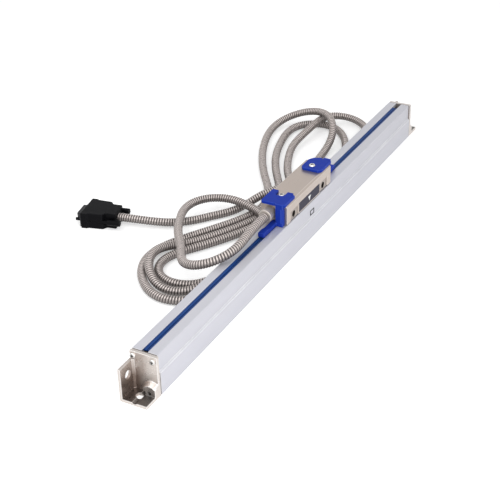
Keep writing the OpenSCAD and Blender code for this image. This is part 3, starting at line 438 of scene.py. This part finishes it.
def build_tone():
    """Shifts a colour by a mask, and lifts it on rounded edges: partly edge wear, partly a painted
    highlight.
    """
    tree, given, out = effect("toned_colour",
                              [("Colour", "NodeSocketColor", (0.5, 0.5, 0.5, 1.0)),
                               ("Worn Colour", "NodeSocketColor", (0.8, 0.8, 0.8, 1.0)),
                               ("Mask", "NodeSocketFloat", 0.5),
                               ("Variation", "NodeSocketFloat", 0.05),
                               ("Wear", "NodeSocketFloat", 0.5)],
                              [("Colour", "NodeSocketColor")])
    blotch = noise_over(tree, object_place(tree), 2.0)
    blotch.inputs["Scale"].default_value = 45.0
    broken = math_node(tree, "MULTIPLY", surface_mark(tree, "worn"), blotch.outputs["Fac"])
    wear_glint = math_node(tree, "MULTIPLY", broken, given.outputs["Wear"])
    wear_glint = math_node(tree, "MULTIPLY", wear_glint, 2.0, clamp=True)
    both = math_node(tree, "ADD", given.outputs["Mask"], blotch.outputs["Fac"])
    shift = math_node(tree, "SUBTRACT", both, 1.0)
    shift = math_node(tree, "MULTIPLY", shift, given.outputs["Variation"])
    shift = math_node(tree, "ADD", shift, 1.0)
    toned = tree.nodes.new("ShaderNodeVectorMath")
    toned.operation = "SCALE"
    tree.links.new(given.outputs["Colour"], toned.inputs[0])
    tree.links.new(shift, toned.inputs["Scale"])
    lifted = mixed(tree, wear_glint, toned.outputs[0], given.outputs["Worn Colour"])
    tree.links.new(lifted, out.inputs["Colour"])
    return tree


def build_corner():
    """Painted shade, darker low down and at the back of a casting's inner faces."""
    tree, given, out = effect("corner_shade",
                              [("Low", "NodeSocketFloat", 0.003),
                               ("High", "NodeSocketFloat", 0.03),
                               ("Front", "NodeSocketFloat", -0.005),
                               ("Back", "NodeSocketFloat", 0.008)],
                              [("Mask", "NodeSocketFloat")])
    axes = tree.nodes.new("ShaderNodeSeparateXYZ")
    tree.links.new(object_place(tree), axes.inputs[0])

    def ramp(value, low, high):
        """0 to 1 as a value goes from one given socket's value to another's"""
        node = tree.nodes.new("ShaderNodeMapRange")
        node.interpolation_type = "SMOOTHSTEP"
        tree.links.new(value, node.inputs["Value"])
        tree.links.new(given.outputs[low], node.inputs["From Min"])
        tree.links.new(given.outputs[high], node.inputs["From Max"])
        return node.outputs["Result"]

    low = math_node(tree, "SUBTRACT", 1.0, ramp(axes.outputs["Z"], "Low", "High"))
    back = ramp(axes.outputs["Y"], "Front", "Back")
    share = math_node(tree, "ADD", math_node(tree, "MULTIPLY", back, 0.9), 0.1)
    both = math_node(tree, "MULTIPLY", low, share)
    both = math_node(tree, "ADD", both, math_node(tree, "MULTIPLY", back, 0.3), clamp=True)
    inner = surface_mark(tree, "inner")
    tree.links.new(math_node(tree, "MULTIPLY", both, inner), out.inputs["Mask"])
    return tree


EFFECTS = {}
BUILDERS = {"grain": build_grain, "streaks": build_streaks, "tone": build_tone,
            "corner": build_corner}


def effects(name):
    """The shared effect of that name, built when it is first used."""
    if name not in EFFECTS:
        EFFECTS[name] = BUILDERS[name]()
    return EFFECTS[name]


def add_group(tree, name, **values):
    """Place a shared effect in a material, with its own values."""
    node = tree.nodes.new("ShaderNodeGroup")
    node.node_tree = effects(name)
    for label, value in values.items():
        node.inputs[label.replace("_", " ")].default_value = value
    return node


def finish(name, base, metallic=0.0, roughness=0.5, spread=0.1, grain=0.0, grain_scale=900.0,
           lines=None, line_amount=0.0, variation=0.06, wear_glint=0.0, worn=None, bump=0.00005,
           coat=0.0, transmission=0.0, groove=0.0, specular=None, corner=None):
    """A surface finish: toned colour, varied roughness and a fine relief."""
    if name in bpy.data.materials:
        return bpy.data.materials[name]
    mat = bpy.data.materials.new(name)
    mat.use_nodes = True
    tree = mat.node_tree
    shader = tree.nodes["Principled BSDF"]
    plain = {"Metallic": metallic, "Coat Weight": coat, "Transmission Weight": transmission,
             "Specular IOR Level": specular}
    for label, value in plain.items():
        if value is not None:
            shader.inputs[label].default_value = value
    if lines:
        pattern = add_group(tree, "streaks", Stretch=lines, Amount=line_amount)
    else:
        pattern = add_group(tree, "grain", Scale=grain_scale, Amount=grain)
    # The lifted colour of rounded edges is partly edge wear and partly a painted highlight
    lighter = worn or tuple(min(1.0, c * 1.35 + 0.05) for c in base)
    tone = add_group(tree, "tone", Colour=(*base, 1.0), Worn_Colour=(*lighter, 1.0),
                     Variation=variation, Wear=wear_glint)
    tree.links.new(pattern.outputs["Mask"], tone.inputs["Mask"])
    tinted = tone.outputs["Colour"]
    # Painted shade in the inner corners of a casting
    if corner:
        low, high, front, back = corner
        shade = add_group(tree, "corner", Low=low, High=high, Front=front, Back=back)
        tinted = mixed(tree, shade.outputs["Mask"], tinted, CORNER_SHADE)
    # Painted shade: the groove mark darkens hollows, recesses, bores and low sides
    if groove:
        deep = math_node(tree, "MULTIPLY", surface_mark(tree, "groove"), groove)
        tinted = mixed(tree, deep, tinted, tuple(c * 0.1 for c in base))
    tree.links.new(tinted, shader.inputs["Base Color"])
    rough = tree.nodes.new("ShaderNodeMapRange")
    rough.inputs["From Min"].default_value = 0.3
    rough.inputs["From Max"].default_value = 0.7
    rough.inputs["To Min"].default_value = max(0.02, roughness - spread)
    rough.inputs["To Max"].default_value = min(1.0, roughness + spread)
    tree.links.new(pattern.outputs["Mask"], rough.inputs["Value"])
    tree.links.new(rough.outputs["Result"], shader.inputs["Roughness"])
    relief = tree.nodes.new("ShaderNodeBump")
    relief.inputs["Distance"].default_value = bump
    relief.inputs["Strength"].default_value = 0.6
    tree.links.new(pattern.outputs["Height"], relief.inputs["Height"])
    tree.links.new(relief.outputs["Normal"], shader.inputs["Normal"])
    return mat


def set_finish(mat, *nodes):
    """Give CAD nodes that stay as they are their finish."""
    for node in nodes:
        slots = NODES[node].material_slots
        if not slots:
            raise RuntimeError(f"{node} has no material slot")
        for s in slots:
            s.material = mat


def recess_of(spots, axis, radius):
    """A test for the faces of a driver recess: near a screw's axis and below its head's top."""
    axis = Vector(axis)

    def test(face):
        centre = face.calc_center_median()
        for spot in spots:
            off = centre - Vector(spot)
            along = off.dot(axis)
            if (off - axis * along).length < radius and -0.004 < along < -0.00008:
                return 1.0
        return 0.0
    return test


def screw_tops(node):
    """The middle of each of two upright screws' tops."""
    low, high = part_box(node)
    middle = (low.x + high.x) / 2
    points = [NODES[node].matrix_world @ v.co for v in NODES[node].data.vertices]
    tops = []
    for own in ([p for p in points if p.x < middle], [p for p in points if p.x > middle]):
        top = max(p.z for p in own)
        head = [p for p in own if p.z > top - 0.0004]
        tops.append(((min(p.x for p in head) + max(p.x for p in head)) / 2,
                     (min(p.y for p in head) + max(p.y for p in head)) / 2, top))
    return tops


def steel(name="ground_steel", base=(0.62, 0.62, 0.64), roughness=0.28):
    """Ground steel, with fine lines along it."""
    return finish(name, base, metallic=1.0, roughness=roughness, lines=(60.0, 1500.0, 1500.0),
                  line_amount=0.6, variation=0.1, wear_glint=0.4, bump=0.00002)


def bright_screw():
    """Polished steel of the screws, with painted shade in the driver recess."""
    return finish("bright_screw_steel", (0.66, 0.64, 0.62), metallic=0.9, roughness=0.2,
                  spread=0.05, grain=0.5, grain_scale=2500.0, variation=0.12, wear_glint=0.7,
                  worn=(0.9, 0.88, 0.86), groove=0.92, bump=0.00001)


# The hose ---------------------------------

def hose_path(step):
    """The route as one smooth cubic curve, as distances along it and evenly spaced points."""
    p = np.array([tuple(c / 1000 for c in q) for q in ROUTE] + [PLUG_AT])
    knot = np.concatenate([[0.0], np.cumsum(np.linalg.norm(np.diff(p, axis=0), axis=1))])
    gap = np.diff(knot)
    slope = np.diff(p, axis=0) / gap[:, None]
    n = len(p)
    system, load = np.eye(n), np.zeros((n, 3))
    for i in range(1, n - 1):
        system[i, i - 1:i + 2] = gap[i - 1], 2 * (gap[i - 1] + gap[i]), gap[i]
        load[i] = 6 * (slope[i] - slope[i - 1])
    bend = np.linalg.solve(system, load)
    fine = []
    for i in range(n - 1):
        t = np.linspace(0.0, gap[i], 40, endpoint=False)[:, None]
        linear = slope[i] - gap[i] * (2 * bend[i] + bend[i + 1]) / 6
        cubic = (bend[i + 1] - bend[i]) / (6 * gap[i])
        fine.append(p[i] + linear * t + bend[i] / 2 * t ** 2 + cubic * t ** 3)
    fine = np.vstack(fine + [p[-1:]])
    run = np.concatenate([[0.0], np.cumsum(np.linalg.norm(np.diff(fine, axis=0), axis=1))])
    at = np.linspace(0.0, run[-1], int(run[-1] / step) + 1)
    return at, np.stack([np.interp(at, run, fine[:, k]) for k in range(3)], axis=1)


def on_path(at, path, along):
    """The points of the path at the given distances along it."""
    return np.stack([np.interp(along, at, path[:, k]) for k in range(3)], axis=2)


def hose_surface(at, path, sizes):
    """The hose's points, in rows along its winding, each one's painted shade, and the rows."""
    pitch, sides, total = sizes.rib_pitch, sizes.hose_sides, at[-1]
    turns = range(-1, int(total / pitch) + 1)
    station = np.array([(turn + place_in) * pitch for turn in turns for place_in, _ in RIB])
    sink = np.array([depth for _ in turns for _, depth in RIB])
    k = np.arange(sides)
    along = np.clip(station[:, None] + k[None, :] / sides * pitch, 0.0, total)
    ahead = (on_path(at, path, np.minimum(along + PATH_STEP, total))
             - on_path(at, path, np.maximum(along - PATH_STEP, 0.0)))
    ahead /= np.linalg.norm(ahead, axis=2, keepdims=True)
    side = np.cross(ahead, [0.0, 0.0, 1.0])
    side /= np.linalg.norm(side, axis=2, keepdims=True)
    up = np.cross(side, ahead)
    angle = 2 * np.pi * k / sides
    out = np.cos(angle)[None, :, None] * side + np.sin(angle)[None, :, None] * up
    radius = sizes.hose_radius - sizes.rib_depth * sink
    points = on_path(at, path, along) + radius[:, None, None] * out
    # Painted shade: darker in the grooves and on the lower side
    lower_side_shade = 0.75 * np.clip(0.8 - np.sin(angle), 0.0, 1.2)
    mark = np.maximum(sink[:, None], lower_side_shade[None, :])
    return points.reshape(-1, 3), mark.reshape(-1), len(station)


def winding_faces(rows, sides, lead):
    """Faces between rows of points, where a row's end meets the start of the row lead rows on."""
    faces = []
    for i in range(rows - 1):
        a, b = i * sides, (i + 1) * sides
        faces += [(a + j, b + j, b + j + 1, a + j + 1) for j in range(sides - 1)]
        if i + 1 + lead < rows:
            faces.append((a + sides - 1, b + sides - 1, (i + 1 + lead) * sides, (i + lead) * sides))
    return faces


# The studio -------------------------------

def seen_directly(tree):
    """1 for rays from the camera, a reflection or a glass, and 0 for scattered ones."""
    is_ray = tree.nodes.new("ShaderNodeLightPath").outputs
    direct = math_node(tree, "MAXIMUM", is_ray["Is Camera Ray"], is_ray["Is Glossy Ray"])
    return math_node(tree, "MAXIMUM", direct, is_ray["Is Transmission Ray"])


def light_world(scene):
    """A white world that lights the scale with half its brightness."""
    world = bpy.data.worlds.new("studio_light")
    scene.world = world
    world.use_nodes = True
    tree = world.node_tree
    back = tree.nodes["Background"]
    back.inputs["Color"].default_value = (1.0, 1.0, 1.0, 1.0)
    half = math_node(tree, "MULTIPLY", seen_directly(tree), 0.5)
    tree.links.new(math_node(tree, "ADD", half, 0.5), back.inputs["Strength"])


def studio_paper():
    """Matt paper that glows a little where it is seen directly."""
    paper = bpy.data.materials.new("studio_paper")
    paper.use_nodes = True
    tree = paper.node_tree
    matt = tree.nodes["Principled BSDF"]
    matt.inputs["Base Color"].default_value = (0.9, 0.9, 0.9, 1.0)
    matt.inputs["Roughness"].default_value = 0.9
    matt.inputs["Specular IOR Level"].default_value = 0.1
    glow = tree.nodes.new("ShaderNodeEmission")
    glow.inputs["Color"].default_value = (1.0, 1.0, 1.0, 1.0)
    glow.inputs["Strength"].default_value = PAPER_GLOW
    both = tree.nodes.new("ShaderNodeAddShader")
    pick = tree.nodes.new("ShaderNodeMixShader")
    tree.links.new(matt.outputs[0], both.inputs[0])
    tree.links.new(glow.outputs[0], both.inputs[1])
    tree.links.new(seen_directly(tree), pick.inputs[0])
    tree.links.new(matt.outputs[0], pick.inputs[1])
    tree.links.new(both.outputs[0], pick.inputs[2])
    tree.links.new(pick.outputs[0], tree.nodes["Material Output"].inputs["Surface"])
    return paper


def lay_paper(scene):
    """Paper that runs back under the scale and curves up behind it."""
    rows = [(PAPER_FRONT, 0.0)]
    for i in range(PAPER_STEPS + 1):
        a = math.radians(90 * i / PAPER_STEPS)
        rows.append((PAPER_DEPTH + PAPER_CURVE * math.sin(a), PAPER_CURVE * (1 - math.cos(a))))
    rows.append((PAPER_DEPTH + PAPER_CURVE, PAPER_TOP))
    turn = Matrix.Rotation(PAPER_TURN, 4, "Z")
    verts = [turn @ Vector((x, y, z)) for y, z in rows
             for x in (-PAPER_HALF_WIDTH, PAPER_HALF_WIDTH)]
    faces = [(2 * i, 2 * i + 1, 2 * i + 3, 2 * i + 2) for i in range(len(rows) - 1)]
    floor = mesh_of("studio_floor", verts, faces)
    for face in floor.polygons:
        face.use_smooth = True
    floor.materials.append(studio_paper())
    sheet = bpy.data.objects.new("studio_floor", floor)
    scene.collection.objects.link(sheet)


def hang_lamps(scene):
    """Soft square lamps that face the scale."""
    for name, spot, size, power in LAMPS:
        lamp = bpy.data.lights.new(name, "AREA")
        lamp.size = size
        lamp.energy = power
        stand = bpy.data.objects.new(name, lamp)
        stand.location = spot
        facing = Vector(LAMPS_FACE) - Vector(spot)
        stand.rotation_euler = facing.to_track_quat("-Z", "Y").to_euler()
        scene.collection.objects.link(stand)


def set_camera(scene):
    """The camera, turned by its own right, up and forward directions."""
    eye = bpy.data.cameras.new("camera")
    eye.lens = CAMERA_LENS
    eye.sensor_width = CAMERA_SENSOR
    camera = bpy.data.objects.new("camera", eye)
    axes = (Vector(CAMERA_RIGHT), Vector(CAMERA_UP), -Vector(CAMERA_AHEAD))
    turned = Matrix(axes).transposed().to_4x4()
    turned.translation = Vector(CAMERA_AT)
    camera.matrix_world = turned
    scene.collection.objects.link(camera)
    scene.camera = camera


# Forms and marks of single pieces ---------

def square_mesh(front, line):
    """The outline of the printed square, as a thin raised frame."""
    (x0, x1), (z0, z1) = SQUARE_X, SQUARE_Z
    verts, faces = [], []
    for y in (front - INK_OUT, front + PRINT_IN):
        for in_z in (0.0, line):
            in_x = UPRIGHT_LINE * in_z
            verts += [(x0 + in_x, y, z0 + in_z), (x1 - in_x, y, z0 + in_z),
                      (x1 - in_x, y, z1 - in_z), (x0 + in_x, y, z1 - in_z)]
    for i in range(4):
        j = (i + 1) % 4
        faces += [(i, j, 4 + j, 4 + i), (8 + j, 8 + i, 12 + i, 12 + j),
                  (j, i, 8 + i, 8 + j), (4 + i, 4 + j, 12 + j, 12 + i)]
    return mesh_of("printed_square", verts, faces)


def pointer_mesh(plate):
    """A triangle that points down from the middle of the label plate."""
    low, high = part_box(plate)
    x, y, z = (low.x + high.x) / 2, low.y, (low.z + high.z) / 2
    corners = ((x - POINTER_HALF, z + POINTER_UP), (x + POINTER_HALF, z + POINTER_UP),
               (x, z - POINTER_DOWN))
    verts = [(a, d, c) for a, c in corners for d in (y - POINTER_OUT, y + PRINT_IN)]
    faces = [(0, 4, 2), (1, 3, 5), (0, 2, 3, 1), (2, 4, 5, 3), (4, 0, 1, 5)]
    return mesh_of("centre_pointer", verts, faces)


def lip_outline(low, high):
    """A lip's outline as (distance from the slot's middle, z), with a thin rounded tip."""
    tip = min(abs(low.y), abs(high.y)) - LIP_REACH
    foot = max(abs(low.y), abs(high.y))
    crown = tip + 0.00005
    bottom, top = low.z, high.z
    shape = [(foot, bottom + 0.0002), (foot, top - 0.00015), (foot - 0.0002, top), (LIP_BEND, top)]
    for i in range(1, 8):
        a = math.pi * i / 8
        y = LIP_BEND + (crown - LIP_BEND) * (1 - math.cos(a)) / 2
        shape.append((y, top - 0.0004 * i / 8 + 0.00016 * math.sin(a)))
    shape += [(crown, top - 0.00045), (tip, top - 0.0006), (tip + 0.0001, top - 0.0008),
              (LIP_BEND, bottom), (foot - 0.0002, bottom)]
    return shape


def step_highlight(face):
    """A painted highlight on the narrow step along the profile's front."""
    at = face.calc_center_median()
    on_front = at.z < STEP_BELOW and at.y < HOUSING[0].y + 0.002
    return 0.4 if face.normal.z > 0.6 and on_front else 0.0


def block_tests(low, high, side):
    """An end block's tests: inner faces, faces in deep shade, and edges too close to round."""
    tip = max(abs(low.x), abs(high.x)) - 0.0002
    plate = min(abs(low.x), abs(high.x)) + 0.001

    def inside(face):
        """The faces that the walls shelter"""
        at = face.calc_center_median()
        hidden = plate < abs(at.x) < tip and at.y < high.y - 0.0004 and at.z > 0.0006
        return 1.0 if hidden and at.y > low.y + 0.0005 and at.z < 0.0352 else 0.0

    def sunk(face):
        """Painted shade on the floor, and on the end of the port's boss"""
        at = face.calc_center_median()
        if not (plate < abs(at.x) < tip and low.y + 0.0006 < at.y < high.y - 0.0004):
            return 0.0
        if face.normal.z > 0.7 and 0.0006 < at.z < 0.008:
            return 0.88
        port_end = side * face.normal.x > 0.8 and at.z < 0.014 and abs(at.x) > plate + 0.001
        return 0.45 if port_end else 0.0

    def beside_screw(edge):
        """Between the lower screw's recess and the port's boss"""
        middle = (edge.verts[0].co + edge.verts[1].co) / 2
        on_plate = abs(abs(middle.x) - plate - 0.002) < 0.0008
        return on_plate and middle.z < 0.0075 and -0.0045 < middle.y < 0.0026

    return inside, sunk, beside_screw


def head_shade():
    """A test of the head's faces: painted shade in the bores, a painted shadow line over each pad,
    and darker pad faces.
    """
    middle = (HEAD[0].x + HEAD[1].x) / 2
    holes = [Vector((middle + side * HOLE_PITCH / 2, HEAD[0].y, HOLE_Z)) for side in (-1, 1)]

    def test(face):
        at = face.calc_center_median()
        near = min(math.hypot(at.x - hole.x, at.z - hole.z) for hole in holes)
        depth = at.y - HEAD[0].y
        facing = face.normal.y
        in_bore = near < HOLE_R + 0.0006 and depth > 0.0008 and facing < 0.9
        if in_bore and (facing > -0.9 or depth > 0.002):
            return 1.0
        over_pad = PAD_TOP - 0.0005 < at.z < PAD_TOP + 0.0006
        if over_pad and 0.00005 < depth < 0.0012 and near < 0.0125:
            return 0.9
        on_pad = 0.0002 < depth < 0.0025 and near < 0.006 and facing < -0.9
        return 0.35 if on_pad else 0.0

    return test


# Operators --------------------------------

class SCALE_OT_studio(bpy.types.Operator):
    """Set up the white world, the paper, the soft lamps and the camera"""
    bl_idname = "linear_scale.studio"
    bl_label = "Studio"

    def execute(self, context):
        scene = context.scene
        scene.view_settings.view_transform = "Standard"
        light_world(scene)
        lay_paper(scene)
        hang_lamps(scene)
        set_camera(scene)
        return {"FINISHED"}


class SCALE_OT_profile(bpy.types.Operator):
    """Shape the slotted profile and print the square on its front"""
    bl_idname = "linear_scale.profile"
    bl_label = "Profile"

    def execute(self, context):
        sizes, tints = context.scene.scale_sizes, context.scene.scale_colours
        satin = finish("satin_profile", tuple(tints.profile), metallic=0.45, roughness=0.45,
                       spread=0.07, lines=(9.0, 1100.0, 1100.0), line_amount=0.7, variation=0.05,
                       wear_glint=0.7, worn=(0.9, 0.9, 0.92), bump=0.00002)
        rounded_node("housing_extrusion", "slotted_profile", sizes.profile_edge, "housing",
                     [satin], marks={"worn": step_highlight})
        ink = finish("printed_ink", (0.02, 0.02, 0.024), roughness=0.55, grain=0.3,
                     grain_scale=3000.0, bump=0.00001, specular=0.1)
        square = square_mesh(HOUSING[0].y + FACE_BACK, sizes.mark_line)
        place(square, "printed_square", "housing", (), [ink])
        return {"FINISHED"}


class SCALE_OT_seals(bpy.types.Operator):
    """Shape the two lip seals in the slot"""
    bl_idname = "linear_scale.seals"
    bl_label = "Lip Seals"

    def execute(self, context):
        rubber = finish("seal_rubber", tuple(context.scene.scale_colours.seal), roughness=0.4,
                        spread=0.08, lines=(25.0, 1600.0, 1600.0), line_amount=0.8,
                        variation=0.25, bump=0.00004, specular=0.2)
        for end, side in (("front", -1), ("back", 1)):
            node = f"lip_seal_{end}"
            low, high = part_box(node)
            outline = [(side * y, z) for y, z in lip_outline(low, high)]
            sweep_x(f"{end}_lip", outline, low.x, high.x, "housing", (node,), [rubber])
        return {"FINISHED"}


class SCALE_OT_ends(bpy.types.Operator):
    """Shape the cast end blocks, their gaskets and their screws"""
    bl_idname = "linear_scale.ends"
    bl_label = "End Blocks"

    def execute(self, context):
        sizes, tints = context.scene.scale_sizes, context.scene.scale_colours
        cast = finish("plated_casting", tuple(tints.casting), metallic=0.8, roughness=0.3,
                      spread=0.06, grain=1.0, grain_scale=260.0, variation=0.08, wear_glint=1.0,
                      worn=(0.74, 0.71, 0.69), bump=0.00002, corner=(0.0045, 0.031, -0.002, 0.0085),
                      groove=0.95)
        rubber = finish("gasket_rubber", (0.2, 0.175, 0.165), roughness=0.7, grain=0.6,
                        grain_scale=1800.0, bump=0.00003)
        for end, side in (("near", -1), ("far", 1)):
            low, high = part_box(f"end_block_{end}")
            inside, sunk, beside_screw = block_tests(low, high, side)
            rounded_node(f"end_block_{end}", f"cast_block_{end}", sizes.casting_edge, "housing",
                         [cast], marks={"inner": inside, "groove": sunk},
                         crowded=beside_screw)
            low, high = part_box(f"end_screws_{end}")
            face_x = side * max(abs(low.x), abs(high.x))
            recess = recess_of([(face_x, y, z) for y, z in PORTS], (side, 0, 0), 0.0015)
            rounded_node(f"end_screws_{end}", f"block_screws_{end}", SCREW_EDGE, "housing",
                         [bright_screw()], marks={"groove": recess})
            set_finish(rubber, f"end_gasket_{end}")
        return {"FINISHED"}


class SCALE_OT_head(bpy.types.Operator):
    """Shape the reader head and its label plate"""
    bl_idname = "linear_scale.head"
    bl_label = "Reader Head"

    def execute(self, context):
        sizes, tints = context.scene.scale_sizes, context.scene.scale_colours
        nickel = finish("satin_nickel", tuple(tints.head), metallic=0.8, roughness=0.34,
                        spread=0.07, lines=(40.0, 1300.0, 1300.0), line_amount=0.5, variation=0.06,
                        wear_glint=0.6, worn=(0.72, 0.66, 0.61), groove=0.9, bump=0.00002)
        rounded_node("head_body", "head_casting", sizes.head_edge, "reader_head", [nickel],
                     marks={"groove": head_shade()})
        plate = finish("label_film", tuple(tints.label), roughness=0.45, spread=0.06, grain=0.4,
                       grain_scale=1500.0, variation=0.1, bump=0.00001, specular=0.12)
        white = finish("label_white", (0.85, 0.85, 0.85), roughness=0.5, grain=0.3,
                       grain_scale=2500.0, bump=0.000005)
        rounded_node("head_label_plate", "label_plate", LABEL_EDGE, "reader_head", [plate])
        place(pointer_mesh("head_label_plate"), "centre_pointer", "reader_head", (),
              [white])
        set_finish(steel("base_plate_steel"), "head_base_plate")
        set_finish(bright_screw(), "base_plate_screws")
        return {"FINISHED"}


class SCALE_OT_clips(bpy.types.Operator):
    """Shape the two transit clips and their screws"""
    bl_idname = "linear_scale.clips"
    bl_label = "Transit Clips"

    def execute(self, context):
        sizes, tints = context.scene.scale_sizes, context.scene.scale_colours
        moulded = finish("clip_plastic", tuple(tints.clip), roughness=0.48, spread=0.08, grain=0.9,
                         grain_scale=1100.0, variation=0.12, wear_glint=0.4, worn=(0.05, 0.10, 0.5),
                         bump=0.00004, specular=0.1)
        for end in ("near", "far"):
            rounded_node(f"transit_clip_{end}", f"clip_{end}", sizes.clip_edge, "reader_head",
                         [moulded])
        recess = recess_of(screw_tops("clip_screws"), (0, 0, 1), 0.0014)
        rounded_node("clip_screws", "clip_screw_pair", CLIP_SCREW_EDGE, "reader_head",
                     [bright_screw()], marks={"groove": recess})
        return {"FINISHED"}


class SCALE_OT_plug(bpy.types.Operator):
    """Shape the plug's hood, thumbscrews and metal shell"""
    bl_idname = "linear_scale.plug"
    bl_label = "Plug"

    def execute(self, context):
        sizes, tints = context.scene.scale_sizes, context.scene.scale_colours
        black = finish("hood_plastic", tuple(tints.hood), roughness=0.42, spread=0.08, grain=1.0,
                       grain_scale=1500.0, variation=0.3, wear_glint=0.35, worn=(0.012, 0.012, 0.014),
                       bump=0.00002, specular=0.06)
        for half in ("lower", "upper"):
            rounded_node(f"hood_{half}", f"hood_half_{half}", sizes.hood_edge, "reader_head",
                         [black])
        tin = finish("blackened_shell", (0.03, 0.03, 0.033), metallic=0.4, roughness=0.36,
                     grain=0.6, variation=0.12, wear_glint=0.4, worn=(0.07, 0.07, 0.075),
                     bump=0.00002, specular=0.2)
        rounded_node("dsub_shell", "plug_shell", SHELL_EDGE, "reader_head", [tin])
        set_finish(finish("insulator_plastic", (0.02, 0.02, 0.024), roughness=0.35, grain=0.5,
                          grain_scale=1600.0, bump=0.00002), "dsub_insulator")
        set_finish(finish("gold_contact", (0.83, 0.58, 0.22), metallic=1.0, roughness=0.22,
                          grain=0.4, grain_scale=2500.0, variation=0.1), "contact_pins")
        set_finish(bright_screw(), "hood_screws")
        set_finish(steel("clamp_steel", roughness=0.34), "cable_clamp")
        for node in ("thumbscrew_a", "thumbscrew_b"):
            rounded_node(node, f"{node}_turned", THUMBSCREW_EDGE, node, [black])
        return {"FINISHED"}


class SCALE_OT_hose(bpy.types.Operator):
    """Lay the armoured hose along its route, with its gland at the head"""
    bl_idname = "linear_scale.hose"
    bl_label = "Armoured Hose"

    def execute(self, context):
        sizes, tints = context.scene.scale_sizes, context.scene.scale_colours
        at, path = hose_path(PATH_STEP)
        verts, mark, rows = hose_surface(at, path, sizes)
        faces = winding_faces(rows, sizes.hose_sides, len(RIB))
        mesh = mesh_of("armoured_hose", verts.tolist(), faces)
        # The groove mark holds the painted shade of the grooves and the lower side
        groove = mesh.attributes.new("groove", "FLOAT", "POINT")
        groove.data.foreach_set("value", mark.astype(np.float32))
        face_outwards(mesh, weld=1e-6)
        for face in mesh.polygons:
            face.use_smooth = True
        hose_steel = finish("hose_steel", tuple(tints.hose), metallic=0.6, roughness=0.3,
                            spread=0.06, grain=0.5, grain_scale=300.0, variation=0.07,
                            groove=0.93, bump=0.00001, specular=0.2)
        hose = place(mesh, "armoured_hose", "reader_head", ("cable_conduit",),
                     [hose_steel])
        plated = finish("gland_nickel", (0.50, 0.45, 0.41), metallic=0.6, roughness=0.42,
                        spread=0.06, lines=(500.0, 500.0, 500.0), line_amount=0.4, variation=0.1,
                        wear_glint=0.4, worn=(0.7, 0.66, 0.62), bump=0.00002)
        rounded_node("cable_gland", "gland_body", GLAND_EDGE, "reader_head", [plated])
        rounded_node("gland_collar", "gland_ring", COLLAR_EDGE, "reader_head", [plated])
        set_finish(finish("lead_jacket", (0.02, 0.02, 0.02), roughness=0.5, grain=0.4),
                   "lead_bundle", "plug_leads")
        return {"FINISHED"}


class SCALE_OT_works(bpy.types.Operator):
    """Give the parts inside the housing and the head their finishes"""
    bl_idname = "linear_scale.works"
    bl_label = "Inner Works"

    def execute(self, context):
        set_finish(finish("scale_glass", (0.86, 0.94, 0.93), roughness=0.05, spread=0.01,
                          transmission=0.85, grain=0.1, variation=0.03), "glass_scale")
        set_finish(finish("optic_glass", (0.92, 0.97, 0.98), roughness=0.04, spread=0.01,
                          transmission=0.9, grain=0.1, variation=0.02),
                   "condenser_lens", "index_grating")
        set_finish(finish("bond_line", (0.8, 0.78, 0.7), roughness=0.6, grain=0.8),
                   "glass_bond_strip")
        set_finish(steel(), "scanning_arm", "coupling_wire", "roller_pins")
        set_finish(steel("roller_steel", (0.7, 0.7, 0.72), 0.16), "face_roller_a", "face_roller_b",
                   "face_roller_c", "edge_roller_a", "edge_roller_b")
        set_finish(bright_screw(), "arm_screws", "board_screws")
        set_finish(finish("spring_brass", (0.7, 0.5, 0.2), metallic=1.0, roughness=0.25,
                          lines=(60.0, 1200.0, 1200.0), line_amount=0.4), "preload_spring")
        set_finish(finish("carriage_anodised", (0.16, 0.17, 0.19), metallic=0.7, roughness=0.45,
                          grain=0.9, grain_scale=1300.0, wear_glint=0.4), "carriage_frame")
        set_finish(finish("lamp_resin", (0.5, 0.03, 0.03), roughness=0.15, spread=0.04,
                          transmission=0.3, grain=0.2), "light_source")
        set_finish(finish("board_mask", (0.01, 0.14, 0.05), roughness=0.35, grain=0.7,
                          grain_scale=600.0, variation=0.3, coat=0.3),
                   "detector_board", "signal_board")
        set_finish(finish("diode_glass", (0.02, 0.02, 0.04), roughness=0.12, spread=0.04,
                          grain=0.3, coat=0.5), "photodiode_array")
        set_finish(finish("flex_film", (0.55, 0.25, 0.04), roughness=0.3,
                          lines=(900.0, 900.0, 20.0), line_amount=0.5, variation=0.2), "flex_lead")
        return {"FINISHED"}


class SCALE_PT_panel(bpy.types.Panel):
    """Sizes, colours and pieces of the scale"""
    bl_idname = "SCALE_PT_panel"
    bl_label = "Linear Glass Scale"
    bl_space_type = "VIEW_3D"
    bl_region_type = "UI"
    bl_category = "Scale"

    def draw(self, context):
        layout = self.layout
        for group in (context.scene.scale_sizes, context.scene.scale_colours):
            column = layout.column(align=True)
            for key in group.__annotations__:
                column.prop(group, key)
        for step in OPERATORS:
            layout.operator(step.bl_idname)


OPERATORS = (SCALE_OT_studio, SCALE_OT_profile, SCALE_OT_seals, SCALE_OT_ends, SCALE_OT_head,
             SCALE_OT_clips, SCALE_OT_plug, SCALE_OT_hose, SCALE_OT_works)
CLASSES = (ScaleSizes, ScaleColours) + OPERATORS + (SCALE_PT_panel,)


def register():
    """Register the classes, and hang the sizes and colours on the scene."""
    for cls in CLASSES:
        bpy.utils.register_class(cls)
    bpy.types.Scene.scale_sizes = PointerProperty(type=ScaleSizes)
    bpy.types.Scene.scale_colours = PointerProperty(type=ScaleColours)


def unregister():
    """Take everything off again."""
    del bpy.types.Scene.scale_colours
    del bpy.types.Scene.scale_sizes
    for cls in reversed(CLASSES):
        bpy.utils.unregister_class(cls)


def main():
    """Run every operator in order."""
    register()
    for step in OPERATORS:
        name = step.bl_idname.split(".")[1]
        if getattr(bpy.ops.linear_scale, name)() != {"FINISHED"}:
            raise RuntimeError(f"{step.bl_label} did not finish")


if __name__ == "__main__":
    main()
